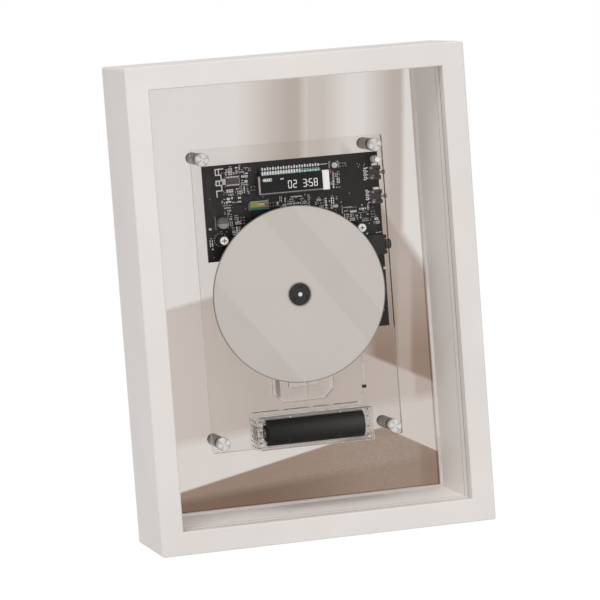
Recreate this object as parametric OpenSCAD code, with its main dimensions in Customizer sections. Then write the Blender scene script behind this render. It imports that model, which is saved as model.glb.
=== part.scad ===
// Wall mounted disc player: a clear player panel stands on four posts inside a deep white picture frame.
// Millimetres. X is to the right, Y goes from the front into the wall and Z is up.
// The origin is the centre of the outer box at the bottom edge, so the frame stands on Z = 0.

/* [Frame] */
// Overall width of the frame
frame_w = 232; // [220:1:280]
// Overall height of the frame
frame_h = 324; // [316:1:380]
// Overall depth from the wall to the front
frame_d = 72; // [66:1:90]
// Width of the front border
lip_w = 15.5; // [12:0.5:22]
// Thickness of the front border
lip_t = 10; // [6:0.5:14]
// Thickness of the outer side walls
side_t = 6; // [4:0.5:7]
// Radius of the four outer corners
corner_r = 1.6; // [0.5:0.1:4]
// Small chamfer along the front and back edges
edge_c = 0.6; // [0.2:0.1:1.5]
// Shadow line between the front border and the inner lining
shadow_gap = 0.5; // [0.3:0.1:1.5]
// Thickness of the ring that holds the back pane
ring_t = 3.3; // [3:0.1:6]
// How far the ring shows inside the lining
ring_ledge = 2; // [1:0.5:5]
// Thickness of the clear back pane
pane_t = 2; // [1.5:0.5:4]
// Screws along each side of the ring
ring_screws_side = 3; // [2:1:5]

/* [Hanger] */
// Width of a keyhole hanger plate
hanger_w = 40; // [34:1:60]
// Height of a keyhole hanger plate
hanger_h = 14; // [12:0.5:15]
// Thickness of a keyhole hanger plate
hanger_t = 1.2; // [0.8:0.1:2]
// Distance between the two keyholes
hanger_span = 150; // [90:1:160]
// Radius of the keyhole's entry for a screw head
key_entry_r = 3.5; // [3:0.1:4]
// Radius of the keyhole's slot for a screw shank
key_slot_r = 1.8; // [1.5:0.1:2.2]
// Rise from the entry to the top of the slot
key_rise = 4; // [3:0.5:5]

/* [Player panel] */
// Width of the clear player panel
player_w = 133.4; // [130:0.2:150]
// Height of the clear player panel
player_h = 205; // [200:1:230]
// Thickness of the clear player panel
player_t = 3; // [2:0.5:5]
// Radius of the panel's corners
player_corner_r = 1.5; // [0.5:0.5:6]
// Post centres in from the panel's edges
post_inset = 6.5; // [5.5:0.5:7]
// Length of a post's barrel
barrel_len = 22.2; // [20:0.2:30]
// Radius of a post's barrel
barrel_r = 4; // [3.5:0.1:5]
// Radius of a post's cap
cap_r = 4.5; // [4:0.1:6]
// Thickness of a post's cap
cap_t = 6.5; // [4:0.5:9]
// Radius of the studs that join cap, barrel and pane
stud_r = 2; // [1.5:0.1:2.5]

/* [Disc] */
// Radius of the disc
disc_r = 60; // [58:0.5:60]
// Thickness of the disc
disc_t = 1.2; // [1:0.1:1.6]
// Radius of the hole in the disc
disc_hole_r = 7.5; // [7.5:0.1:9]
// Gap from the player panel to the disc
disc_gap = 4.8; // [4.6:0.1:8]

/* [Circuit board] */
// Width of the circuit board
board_w = 123; // [118:0.5:124]
// Thickness of the circuit board
board_t = 1.6; // [1:0.1:2]
// Gap from the player panel to the board
board_gap = 6.4; // [6.2:0.1:7]
// Board's top edge below the panel's top edge
board_drop = 12; // [11.5:0.5:14]
// Board's right edge in from the panel's right edge
board_inset = 1.2; // [0.8:0.1:2]
// How far the board's right leg reaches below the disc's centre
leg_drop = 28.8; // [26:0.2:34]
// Width of the board's right leg
leg_w = 19.5; // [18:0.5:22]
// Width of the display's glass
display_w = 43.5; // [40:0.5:44.5]
// Height of the display's front glass
display_h = 11.5; // [10:0.5:12]
// Connection pins along the display
display_pin_count = 30; // [20:1:34]
// Radius of the large capacitor
capacitor_r = 4.1; // [3:0.1:5]
// Radius of the bore in the headphone socket
socket_r = 1.8; // [1.75:0.05:1.9]
// Length of the bore in the headphone socket
socket_len = 14; // [12:0.5:15]

/* [Mechanism] */
// Width of the mechanism's lower housing
mech_w = 43.2; // [43:0.2:50]
// Depth of the mechanism's housing
mech_d = 12.8; // [12.8:0.2:16]
// Wall thickness of the housing
mech_wall = 1.8; // [1.2:0.1:1.8]
// How far the housing reaches below the disc's centre
mech_drop = 73.4; // [73:0.2:80]
// How far the housing reaches above the disc's centre
mech_rise = 24; // [20:0.5:25]
// Radius of the spindle motor
motor_r = 11; // [9:0.1:11]
// Radius of the spindle shaft
shaft_r = 1.4; // [1:0.1:1.5]
// Radius of the turntable under the disc
turntable_r = 15; // [12:0.5:17]
// Lens distance from the spindle when the sled is parked
lens_park = 23; // [22.5:0.1:24]
// Travel of the sled
sled_travel = 34; // [30:0.5:34]
// Radius of the main guide rod
rod_r = 1.5; // [1:0.1:1.6]
// Radius of the second guide rod
thin_rod_r = 1; // [0.8:0.1:1.3]
// Gear module
gear_m = 0.5; // [0.45:0.01:0.5]
// Teeth on the pinion that drives the rack
pinion_teeth = 14; // [12:2:14]
// Teeth on the large drive wheel
wheel_teeth = 32; // [28:2:32]
// Teeth on the motor's pinion
motor_teeth = 10; // [10:1:12]

/* [Battery] */
// Radius of the battery cell
cell_r = 9.3; // [9:0.1:9.3]
// Length of the battery cell
cell_len = 67; // [66:0.2:69.2]
// Width of the clear battery holder
holder_w = 80.8; // [80:0.2:90]
// Depth of the clear battery holder
holder_d = 23; // [21:0.5:26]
// Gap from the panel's bottom edge up to the holder
holder_rise = 1.4; // [0.5:0.1:4]
// Curls of the battery spring
spring_curls = 3; // [2:1:3]
// Wire radius of the battery spring
spring_wire_r = 0.3; // [0.25:0.05:0.3]

/* [Fits] */
// Gap between still pieces that rest on each other
rest_gap = 0.2; // [0.1:0.05:0.3]
// Radial clearance of screws and studs in their holes
screw_fit = 0.05; // [0.03:0.01:0.15]
// Radial clearance of shafts that turn or slide
run_fit = 0.05; // [0.02:0.01:0.1]
// Gap between pieces that move past each other
move_gap = 0.3; // [0.2:0.05:0.35]

/* [Hidden] */

fine = 64;
soft = 32;
eps = 0.01;

// Colours as the photograph shows them
white_paint = "#E2DFDA";
clear_tint = [0.86, 0.87, 0.87, 0.35];
steel = "#C9C9C8";
dark_steel = "#7C7976";
board_black = "#1B1A1C";
black_plastic = "#26262A";
smoke = "#4A4A4E";
brass_gold = "#C9A24B";
print_grey = "#C6C1BB";

// Depth stack, from the back of the frame forward
front_y = -frame_d / 2;
back_y = frame_d / 2;
pane_back = back_y - ring_t;
pane_front = pane_back - pane_t;
player_back = pane_front - barrel_len;
player_front = player_back - player_t;
disc_back = player_front - disc_gap;
disc_front = disc_back - disc_t;
board_front = player_back + board_gap;
board_back = board_front + board_t;
mech_front = player_back + move_gap;
mech_back = mech_front + mech_d;
mech_base_t = 1.5;
mech_floor = mech_back - mech_base_t;

// Frame section
inner_w = frame_w - 2 * side_t;
inner_h = frame_h - 2 * side_t;
lining_front = front_y + lip_t + shadow_gap;
lining_back = pane_front - rest_gap;
ring_inner = lip_w + ring_ledge;
ring_outer = side_t + rest_gap;
ring_screw_r = 1.45;
ring_head_r = 2.9;
ring_screw_len = 14;
ring_screw_in = (ring_outer + lip_w) / 2;
ring_screw_end = 46;
ring_screw_x = hanger_span / 2 - hanger_w / 2 - 12;

// Group centre: the disc, the panel and the posts share it
zc = frame_h / 2;
post_x = player_w / 2 - post_inset;
post_z = player_h / 2 - post_inset;
post_screw_head_r = 3.8;
post_bore_depth = 8;

// Board edges, from the group's centre in Z
board_right = player_w / 2 - board_inset;
board_left = board_right - board_w;
board_top = player_h / 2 - board_drop;
board_bottom = mech_rise + 1.7;
leg_left = board_right - leg_w;

// Screws and the peg that carry the board, and the small screw near its top, from the panel's centre
board_screw_x = 48.2;
board_screw_z = board_bottom + 14.6;
peg_x = board_right - 2.9;
lug_x = board_left + 92.2;
lug_z = board_top - 6.8;
lug_r = 1.9;
lug_t = 1.3;
peg_z = board_top - 5;
peg_r = 1.8;
spacer_r = 3;
board_screw_r = 1.25;
board_head_r = 2.7;
board_head_t = 1.9;

// Display, placed from the board's top edge
display_x = 2.8;
display_top = board_top - 9.8;
display_glass_t = 1.1;
display_front = player_back + 1.2;
display_mid = display_front + display_glass_t;
display_back = display_mid + display_glass_t;
display_strip = 3.2;
display_frame_w = 1.4;
display_frame_t = 1.2;
display_end_w = 5;
display_row_w = 39.8;
display_left = display_x - display_w / 2;
display_right = display_x + display_w / 2;
display_bottom = display_top - display_h;

// Sockets and switches on the board's right edge
socket_z = 27.2;
socket_body = [13.4, 13.6];
socket_depth = 5.2;
socket_axis_in = 2.8;
socket_collar_r = 3.1;
socket_collar_len = 3.8;
socket_rim_t = 1.2;
socket_shoulder_r = 3.4;
socket_neck_half = 3.6;
socket_neck_out = 0.1;
socket_lug_back = 1;
socket_set_back = 0.6;
socket_lug = [0.8, 2.4, 5.2];
lamp_z = 10.7;
lamp_size = [1.4, 0.9, 1.7];
switch_drop = 14.2;
switch_pitch = 16.4;
switch_z = [board_top - switch_drop, board_top - switch_drop - switch_pitch];
switch_pivot_x = board_right - 3.5;
switch_half_h = 4.7;
switch_in = 4;
switch_out = 4;
switch_t = 4;
rotor_r = 2.9;
rotor_t = 1.8;
lever_post_r = 0.7;
stem_len = 7.4;
stem_w = 1.8;
lever_swing = 12;

// Mechanism, from the disc's centre
housing_left = 27;
housing_right = 36;
housing_step_low = 48;
housing_step_high = 44;
housing_chamfer = [6.5, 6];
motor_front = player_back + 0.9;
turntable_t = 2;
turntable_front = disc_back + 0.1;
turntable_back = turntable_front + turntable_t;
boss_r = disc_hole_r - 0.15;
boss_proud = 1.1;
boss_front = disc_front - boss_proud;
hub_sleeve_r = 4;
hub_sleeve_back = player_back - 1.7;
pawl_w = 2.8;
pawl_nose_r = disc_hole_r - 0.2;
pawl_foot_r = 2.9;
pawl_travel = 0.7;
shaft_proud = 0.3;
shaft_end = mech_floor - 1.2;
panel_hole_r = motor_r + 2;
slot_half_w = 10.5;
slot_drop = lens_park + sled_travel + 6.5;

// Sled and its drive
sled_front = player_back + 1.7;
sled_back = mech_floor - 1.8;
sled_left = 18.6;
sled_up = 9.8;
sled_down = 13.2;
sled_bottom = -lens_park - sled_down;
rod_x = -16.3;
rod_y = sled_front + 4.1;
rod_block_up = lens_park - sled_up - 0.4;
rod_block_t = 1.5;
rod_low = 3.2;
thin_rod_low = 0.6;
rod_in_block = 0.9;
turret_r = 5.2;
turret_front = player_front - 0.9;
lens_r = 3.9;
lens_front = disc_back + 2.3;
lens_len = 5;
rack_back_x = motor_r + 0.35;
thin_rod_x = rack_back_x - 6.65;
rack_z_low = sled_bottom;
addendum = 0.8 * gear_m;
dedendum = 1.2 * gear_m;
pressure = 25;
backlash = 0.12;
rack_pitch_x = rack_back_x + 1.25 + dedendum;
pinion_pr = gear_m * pinion_teeth / 2;
wheel_pr = gear_m * wheel_teeth / 2;
motor_pr = gear_m * motor_teeth / 2;
pinion_x = rack_pitch_x + pinion_pr;
pinion_z = sled_bottom + 3.2;
sled_motor_x = pinion_x + wheel_pr + motor_pr;
sled_motor_r = 6;
rack_z_high = pinion_z + sled_travel + 3;
gear_pin_r = 0.75;
wheel_t = 1.15;
wheel_back = mech_floor - move_gap;
wheel_front = wheel_back - wheel_t;
rack_front = sled_front + 2.3;
rack_back = sled_back - 0.7;

// Screw posts of the housing: places from the disc's centre
post_left_x = -housing_left - 3.5;
post_right_x = housing_right - 5.2;
mech_posts = [[post_left_x, mech_rise - 12], [post_right_x, mech_rise - 5],
    [post_left_x, -38], [post_right_x, -17]];
mech_post_r = 3.2;
mech_screw_len = 10;
small_screw_r = 1;
small_head_r = 2.2;
small_head_t = 1.5;
damper_t = 0.9;

// Ribbon from the board down to the mechanism
ribbon_x = -20;
ribbon_w = 8;
ribbon_t = 0.3;
ribbon_y = board_front - 1.5;
ribbon_plug_w = 12.8;
ribbon_plug_h = 5.8;
ribbon_plug_t = 2.4;
ribbon_top = 58.5;
ribbon_low = 15.5;

// Battery holder: its lower edge follows the panel's
cell_x = 1.8;
holder_bottom = -player_h / 2 + holder_rise;
holder_wall = 1.1;
holder_top_t = 1.2;
holder_top_gap = 1;
holder_end_t = 1.6;
holder_floor_t = 1.5;
cell_z = holder_bottom + holder_wall + move_gap + cell_r;
cell_y = player_front - holder_floor_t - move_gap - cell_r;
shelf_low = cell_z + cell_r + 0.4;
shelf_t = 0.8;
holder_top = shelf_low + shelf_t + holder_top_gap + holder_top_t;
holder_front = player_front - holder_d;
contact_t = 0.5;
contact_w = 10;
cell_left = cell_x - cell_len / 2;
cell_right = cell_x + cell_len / 2;
nub_r = 3;
nub_len = 0.6;
contact_left_x = -holder_w / 2 + holder_end_t + 0.4;
contact_right_x = cell_right + nub_len + move_gap;
spring_r_wide = 5;
spring_r_narrow = 3;

// Battery leads: their bends, chosen by hand, from the panel's back face and the disc's centre
wire_r = 0.3;
wire_sides = 8;
wire_step = 3;
wire_hole_x = contact_right_x + contact_t + 1;
right_lead = [[wire_hole_x, -5.5, -85.2], [wire_hole_x, 0.5, -85.2], [wire_hole_x + 0.6, 1.1, -84.8],
    [43.2, 1.3, -71.4], [43.45, 1.3, -69.4], [43.45, 1.3, -40], [44, 1.7, -38.5], [51, 4.5, -31],
    [51.4, 4.8, -29.5], [51.4, 4.8, -26.6]];
left_lead = [[wire_hole_x, -5.5, -83.2], [wire_hole_x, 1.9, -83.2], [wire_hole_x + 0.2, 2.7, -82],
    [42.2, 1.3, -71], [42.55, 1.3, -69], [42.55, 1.3, -39.4], [43, 1.7, -37.9], [49.2, 4.5, -30.4],
    [49.6, 4.8, -29.2], [49.6, 4.8, -26.6]];
wire_y = player_back + 1.3;
wire_hole_z = 5.2;
wire_hole_pitch = 2;
clip_x = 43;
clip_z = -68;
clip_half = 0.95;
lead_x = 50.5;
lead_z = -leg_drop + 2.2;

// ---- shared shapes ----

// A box from its lowest to its highest corner, Z counted from the group's centre
module slab(x0, x1, y0, y1, z0, z1) {
    translate([x0, y0, zc + z0])
        cube([x1 - x0, y1 - y0, z1 - z0]);
}

// A cylinder along Y between two depths
module drum(x, z, r, y0, y1, sides = fine) {
    translate([x, y1, zc + z])
        rotate([90, 0, 0])
            cylinder(r = r, h = y1 - y0, $fn = sides);
}

// A cone along Y between two depths
module taper(x, z, r0, r1, y0, y1) {
    translate([x, y0, zc + z])
        rotate([-90, 0, 0])
            cylinder(r1 = r0, r2 = r1, h = y1 - y0, $fn = fine);
}

// An X-Z outline raised along Y between two depths, Z counted from the group's centre
module plate(y0, y1) {
    translate([0, y1, zc])
        rotate([90, 0, 0])
            linear_extrude(y1 - y0)
                children();
}

module rounded(w, h, r) {
    square([w - 2 * r, h], center = true);
    square([w, h - 2 * r], center = true);
    for (sx = [-1, 1], sz = [-1, 1])
        translate([sx * (w / 2 - r), sz * (h / 2 - r)])
            circle(r = r, $fn = soft);
}

// Pan head screw along Y with a cross recess; way is 1 when it is driven towards the back
module pan_screw(x, z, face, way, head_r, head_t, shank_r, len) {
    head_far = face - way * head_t;
    tip = face + way * len;
    difference() {
        union() {
            drum(x, z, head_r, min(face, head_far), max(face, head_far));
            drum(x, z, shank_r, min(face - way * eps, tip), max(face - way * eps, tip));
        }
        recess = head_far + way * head_t * 0.5;
        for (turn = [0, 90])
            translate([x, 0, zc + z])
                rotate([0, turn, 0])
                    translate([-head_r * 0.6, min(head_far - way * eps, recess), -head_r * 0.12])
                        cube([head_r * 1.2, abs(recess - head_far) + eps, head_r * 0.24]);
    }
}

// Countersunk screw with its head flush at a face, driven towards the front
module flush_screw(x, z, face, head_r, shank_r, len) {
    difference() {
        union() {
            taper(x, z, shank_r, head_r, face - (head_r - shank_r), face);
            drum(x, z, shank_r, face - len, face - (head_r - shank_r) + eps);
        }
        translate([x - head_r * 0.7, face - 0.6, zc + z - 0.3])
            cube([head_r * 1.4, 0.6 + eps, 0.6]);
    }
}

// The hole for that screw
module flush_hole(x, z, face, head_r, shank_r, len) {
    taper(x, z, shank_r + screw_fit, head_r + screw_fit, face - (head_r - shank_r), face);
    drum(x, z, shank_r + screw_fit, face - len - rest_gap, face);
    drum(x, z, head_r + screw_fit, face - eps, face + eps);
}

// ---- gears ----

function inv_angle(a) = tan(a) - a * PI / 180;

// Half the angle that a tooth spans at a radius
function tooth_half(m, n, r) =
    let (pr = m * n / 2, base = pr * cos(pressure), at = r > base ? acos(base / r) : 0)
    ((PI * m / 2 - backlash) / (2 * pr) + inv_angle(pressure) - inv_angle(at)) * 180 / PI;

flank_steps = 3;

function gear_points(m, n) =
    let (pr = m * n / 2, base = pr * cos(pressure), root = pr - dedendum, tip = pr + addendum,
        low = max(base, root))
    [for (k = [0 : n - 1]) each concat(
        [root * [cos(k * 360 / n - tooth_half(m, n, low)), sin(k * 360 / n - tooth_half(m, n, low))]],
        [for (i = [0 : flank_steps])
            let (r = low + (tip - low) * i / flank_steps, a = k * 360 / n - tooth_half(m, n, r))
            r * [cos(a), sin(a)]],
        [for (i = [flank_steps : -1 : 0])
            let (r = low + (tip - low) * i / flank_steps, a = k * 360 / n + tooth_half(m, n, r))
            r * [cos(a), sin(a)]],
        [root * [cos(k * 360 / n + tooth_half(m, n, low)), sin(k * 360 / n + tooth_half(m, n, low))]])];

module gear_shape(m, n) {
    polygon(gear_points(m, n));
}

// Rack teeth point to +X; a gap lies level with the pinion's centre
module rack_shape() {
    pitch = PI * gear_m;
    half = (pitch / 2 - backlash) / 2;
    low_half = half + dedendum * tan(pressure);
    tip_half = half - addendum * tan(pressure);
    first = ceil((rack_z_low - pinion_z) / pitch + 0.1);
    last = floor((rack_z_high - pinion_z) / pitch - 1.1);
    translate([rack_back_x, rack_z_low])
        square([rack_pitch_x - dedendum - rack_back_x, rack_z_high - rack_z_low]);
    for (k = [first : last])
        translate([rack_pitch_x, pinion_z + (k + 0.5) * pitch])
            polygon([[-dedendum - eps, -low_half], [addendum, -tip_half],
                [addendum, tip_half], [-dedendum - eps, low_half]]);
}

// ---- frame ----

// Bottom rail of a given length, centred in X, its outer face at Z = 0
module rail_bar(len) {
    section = [[front_y + edge_c, 0], [front_y, edge_c], [front_y, lip_w - edge_c],
        [front_y + edge_c, lip_w], [front_y + lip_t, lip_w], [front_y + lip_t, side_t],
        [back_y, side_t], [back_y, edge_c], [back_y - edge_c, 0]];
    intersection() {
        translate([-len / 2, 0, 0])
            rotate([90, 0, 90])
                linear_extrude(len)
                    polygon(section);
        translate([0, back_y + 1, 0])
            rotate([90, 0, 0])
                linear_extrude(frame_d + 2)
                    polygon([[-len / 2, 0], [len / 2, 0],
                        [len / 2 - lip_w, lip_w], [-len / 2 + lip_w, lip_w]]);
    }
}

module rail_rounded() {
    intersection() {
        children();
        plate(front_y - 1, back_y + 1)
            rounded(frame_w, frame_h, corner_r);
    }
}

module rail_bottom() {
    color(white_paint)
        rail_rounded()
            rail_bar(frame_w);
}

module rail_top() {
    color(white_paint)
        difference() {
            rail_rounded()
                translate([0, 0, frame_h])
                    mirror([0, 0, 1])
                        rail_bar(frame_w);
            hanger_pockets();
        }
}

module rail_left() {
    color(white_paint)
        rail_rounded()
            translate([-frame_w / 2, 0, zc])
                rotate([0, 90, 0])
                    rail_bar(frame_h);
}

module rail_right() {
    color(white_paint)
        rail_rounded()
            mirror([1, 0, 0])
                translate([-frame_w / 2, 0, zc])
                    rotate([0, 90, 0])
                        rail_bar(frame_h);
}

// Places of the ring's screws, from the group's centre
ring_places = concat(
    [for (sz = [-1, 1], i = [0 : ring_screws_side - 1])
        [(i / (ring_screws_side - 1) * 2 - 1) * ring_screw_x, sz * (frame_h / 2 - ring_screw_in)]],
    [for (sx = [-1, 1], i = [0 : ring_screws_side - 1])
        [sx * (frame_w / 2 - ring_screw_in),
            (i / (ring_screws_side - 1) * 2 - 1) * (frame_h / 2 - ring_screw_end)]]);

module ring_holes() {
    for (p = ring_places)
        flush_hole(p[0], p[1], back_y, ring_head_r, ring_screw_r, ring_screw_len);
}

// Lining along the top or bottom; way is 1 at the top
module liner_level(way) {
    color(white_paint)
        difference() {
            slab(-frame_w / 2 + ring_outer, frame_w / 2 - ring_outer, lining_front, lining_back,
                min(way * (frame_h / 2 - ring_outer), way * (frame_h / 2 - lip_w)),
                max(way * (frame_h / 2 - ring_outer), way * (frame_h / 2 - lip_w)));
            ring_holes();
        }
}

// Lining along a side; way is 1 at the right
module liner_upright(way) {
    color(white_paint)
        difference() {
            slab(min(way * (frame_w / 2 - ring_outer), way * (frame_w / 2 - lip_w)),
                max(way * (frame_w / 2 - ring_outer), way * (frame_w / 2 - lip_w)),
                lining_front, lining_back, -frame_h / 2 + lip_w, frame_h / 2 - lip_w);
            ring_holes();
        }
}

module liner_top() {
    liner_level(1);
}

module liner_bottom() {
    liner_level(-1);
}

module liner_left() {
    liner_upright(-1);
}

module liner_right() {
    liner_upright(1);
}

// Four strips behind the pane, butted at the corners
module back_ring() {
    color(white_paint)
        difference() {
            union() {
                for (way = [-1, 1])
                    slab(-frame_w / 2 + ring_outer, frame_w / 2 - ring_outer, pane_back, back_y,
                        way > 0 ? frame_h / 2 - ring_inner : -frame_h / 2 + ring_outer,
                        way > 0 ? frame_h / 2 - ring_outer : -frame_h / 2 + ring_inner);
                for (way = [-1, 1])
                    slab(way > 0 ? frame_w / 2 - ring_inner : -frame_w / 2 + ring_outer,
                        way > 0 ? frame_w / 2 - ring_outer : -frame_w / 2 + ring_inner,
                        pane_back, back_y,
                        -frame_h / 2 + ring_inner + eps, frame_h / 2 - ring_inner - eps);
            }
            ring_holes();
            hanger_pockets();
        }
}

module back_pane() {
    color(clear_tint)
        difference() {
            plate(pane_front, pane_back)
                square([inner_w - 4 * rest_gap, inner_h - 4 * rest_gap], center = true);
            ring_holes();
            for (sx = [-1, 1], sz = [-1, 1])
                flush_hole(sx * post_x, sz * post_z, pane_back, post_screw_head_r, stud_r, pane_t + 1);
        }
}

module ring_screws() {
    color(steel)
        for (p = ring_places)
            flush_screw(p[0], p[1], back_y, ring_head_r, ring_screw_r, ring_screw_len);
}

// ---- hangers ----

hanger_z = frame_h / 2 - 2.5 - hanger_h / 2;
key_z = hanger_z - (key_rise + key_slot_r - key_entry_r) / 2;
hanger_screw_x = hanger_w / 2 - 4;
hanger_screw_r = 1.2;
hanger_head_r = 2.2;
hanger_screw_len = 3;

module keyhole() {
    translate([0, key_z])
        circle(r = key_entry_r, $fn = fine);
    translate([-key_slot_r, key_z])
        square([2 * key_slot_r, key_rise]);
    translate([0, key_z + key_rise])
        circle(r = key_slot_r, $fn = fine);
}

// Pocket for the plate and, behind the keyhole, room for the wall screw's head
module hanger_pockets() {
    for (side = [-1, 1]) {
        slab(side * hanger_span / 2 - hanger_w / 2 - rest_gap / 2,
            side * hanger_span / 2 + hanger_w / 2 + rest_gap / 2,
            back_y - hanger_t - rest_gap / 2, back_y + 1, hanger_z - hanger_h / 2 - rest_gap / 2,
            hanger_z + hanger_h / 2 + rest_gap / 2);
        plate(pane_back - eps, back_y)
            translate([side * hanger_span / 2 - key_entry_r, key_z - key_entry_r])
                square([2 * key_entry_r, key_rise + 2 * key_entry_r]);
        for (end = [-1, 1])
            drum(side * hanger_span / 2 + end * hanger_screw_x, hanger_z - 2, hanger_screw_r + screw_fit,
                back_y - hanger_screw_len - rest_gap, back_y);
    }
}

module hanger_plates() {
    color(steel)
        for (side = [-1, 1])
            difference() {
                plate(back_y - hanger_t, back_y)
                    difference() {
                        translate([side * hanger_span / 2, hanger_z])
                            rounded(hanger_w, hanger_h, 2);
                        translate([side * hanger_span / 2, 0])
                            keyhole();
                    }
                for (end = [-1, 1])
                    flush_hole(side * hanger_span / 2 + end * hanger_screw_x, hanger_z - 2, back_y,
                        hanger_head_r, hanger_screw_r, hanger_screw_len);
            }
}

module hanger_screws() {
    color(steel)
        for (side = [-1, 1], end = [-1, 1])
            flush_screw(side * hanger_span / 2 + end * hanger_screw_x, hanger_z - 2, back_y,
                hanger_head_r, hanger_screw_r, hanger_screw_len);
}

// ---- posts ----

module post_barrels() {
    color(dark_steel)
        for (sx = [-1, 1], sz = [-1, 1])
            difference() {
                drum(sx * post_x, sz * post_z, barrel_r, player_back, pane_front);
                drum(sx * post_x, sz * post_z, stud_r + screw_fit, player_back - 1,
                    player_back + post_bore_depth);
                drum(sx * post_x, sz * post_z, stud_r + screw_fit, pane_front - post_bore_depth,
                    pane_front + 1);
            }
}

module post_caps() {
    color(steel)
        for (sx = [-1, 1], sz = [-1, 1]) {
            drum(sx * post_x, sz * post_z, cap_r, player_front - cap_t + 0.5, player_front);
            taper(sx * post_x, sz * post_z, cap_r - 0.5, cap_r, player_front - cap_t,
                player_front - cap_t + 0.5);
            drum(sx * post_x, sz * post_z, stud_r, player_front - eps, player_back + post_bore_depth - 0.5);
        }
}

module post_screws() {
    color(steel)
        for (sx = [-1, 1], sz = [-1, 1])
            flush_screw(sx * post_x, sz * post_z, pane_back, post_screw_head_r, stud_r,
                pane_t + post_bore_depth - 0.5);
}

// ---- player panel ----

module player_panel() {
    color(clear_tint)
        difference() {
            plate(player_front, player_back)
                difference() {
                    rounded(player_w, player_h, player_corner_r);
                    circle(r = panel_hole_r, $fn = fine);
                    translate([-slot_half_w, -slot_drop])
                        square([2 * slot_half_w, slot_drop]);
                }
            for (sx = [-1, 1], sz = [-1, 1])
                drum(sx * post_x, sz * post_z, stud_r + screw_fit, player_front - 1, player_back + 1);
            for (sx = [-1, 1])
                drum(sx * board_screw_x, board_screw_z, board_screw_r + screw_fit,
                    player_front - 1, player_back + 1);
            drum(peg_x, peg_z, peg_r + screw_fit, player_front - 1, player_back + 1);
            for (p = mech_posts)
                drum(p[0], p[1], small_screw_r + screw_fit, player_front - 1, player_back + 1);
            for (x = holder_screw_x)
                drum(x, cell_z, small_screw_r + screw_fit, player_front - 1, player_back + 1);
            wire_hole(player_front - 1, player_back + 1);
        }
}

// ---- circuit board ----

module board_holes(y0, y1) {
    for (sx = [-1, 1])
        drum(sx * board_screw_x, board_screw_z, board_screw_r + screw_fit, y0, y1);
    drum(peg_x, peg_z, peg_r + screw_fit, y0, y1);
    drum(lug_x, lug_z, small_screw_r + screw_fit, y0, y1);
}

module circuit_board() {
    color(board_black)
        difference() {
            plate(board_front, board_back)
                polygon([[board_left, board_bottom], [leg_left, board_bottom], [leg_left, -leg_drop],
                    [board_right, -leg_drop], [board_right, board_top], [board_left, board_top]]);
            board_holes(board_front - 1, board_back + 1);
        }
}

module board_supports() {
    color("white") {
        for (sx = [-1, 1])
            difference() {
                drum(sx * board_screw_x, board_screw_z, spacer_r, player_back, board_front);
                board_holes(player_back - 1, board_front + 1);
            }
        drum(peg_x, peg_z, peg_r, player_front - 0.6, board_back + 0.8);
        drum(peg_x, peg_z, peg_r + 0.7, player_back, board_front);
    }
}

// Two screws through panel, spacer and board, and one small screw on the board itself
module board_screws() {
    color(steel) {
        for (sx = [-1, 1])
            pan_screw(sx * board_screw_x, board_screw_z, player_front, 1, board_head_r, board_head_t,
                board_screw_r, board_back + 1.2 - player_front);
        pan_screw(lug_x, lug_z, board_front, 1, lug_r, lug_t, small_screw_r, board_t + 0.8);
    }
}

module display_glass() {
    color("#101014") {
        slab(display_left, display_right, display_front, display_mid, display_bottom, display_top);
        slab(display_left, display_right, display_mid - eps, display_back, display_bottom,
            display_top + display_strip);
    }
}

module display_backlight() {
    color("white") {
        slab(display_left, display_right + eps, display_back, board_front, display_bottom, display_top);
        slab(display_right, display_right + display_end_w, display_mid, board_front,
            display_bottom - display_frame_t, display_top + 0.4);
    }
}

module display_bezel() {
    color("#B9B7B5") {
        slab(display_left - display_frame_w, display_left - eps, display_front, board_front,
            display_bottom - display_frame_t, display_top);
        slab(display_left - display_frame_w, display_right - eps, display_front, board_front,
            display_bottom - display_frame_t, display_bottom - eps);
    }
}

module display_pins() {
    color(steel)
        for (i = [0 : display_pin_count - 1]) {
            x = display_x - display_row_w / 2 + i * display_row_w / (display_pin_count - 1);
            slab(x - 0.25, x + 0.25, display_mid, board_front, display_top + display_strip,
                display_top + display_strip + 0.5);
            slab(x - 0.25, x + 0.25, board_front - 0.4, board_front, display_top + display_strip,
                display_top + display_strip + 2.2);
        }
}

// A chip with legs along its two long sides; w and h are the body's size, legs counts one side
module chip(x, z, w, h, legs, tall) {
    slab(x - w / 2, x + w / 2, board_front - tall, board_front - 0.1, z - h / 2, z + h / 2);
    for (i = [0 : legs - 1], side = [-1, 1]) {
        lx = x - w / 2 + (i + 0.5) * w / legs;
        slab(lx - 0.2, lx + 0.2, board_front - tall / 2, board_front,
            min(z + side * h / 2, z + side * (h / 2 + 0.5)),
            max(z + side * h / 2, z + side * (h / 2 + 0.5)));
        slab(lx - 0.2, lx + 0.2, board_front - 0.25, board_front,
            min(z + side * (h / 2 + 0.4), z + side * (h / 2 + 1.2)),
            max(z + side * (h / 2 + 0.4), z + side * (h / 2 + 1.2)));
    }
}

module main_chip() {
    color("#55545A")
        chip(board_left + 20.6, board_top - 11.3, 8.6, 4, 8, 1.6);
}

// Smaller chips: place from the board's left and top edges, then body width, height and legs
small_chip_list = [[20.5, 31.6, 5, 5, 5], [21.5, 24, 3.2, 3, 3], [28.2, 24.8, 5.4, 5, 4],
    [92.4, 40.6, 5, 4.6, 4], [110.5, 42.5, 3.4, 3, 3]];

module small_chips() {
    color("#3A393E")
        for (c = small_chip_list)
            chip(board_left + c[0], board_top - c[1], c[2], c[3], c[4], 1.2);
}

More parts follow.
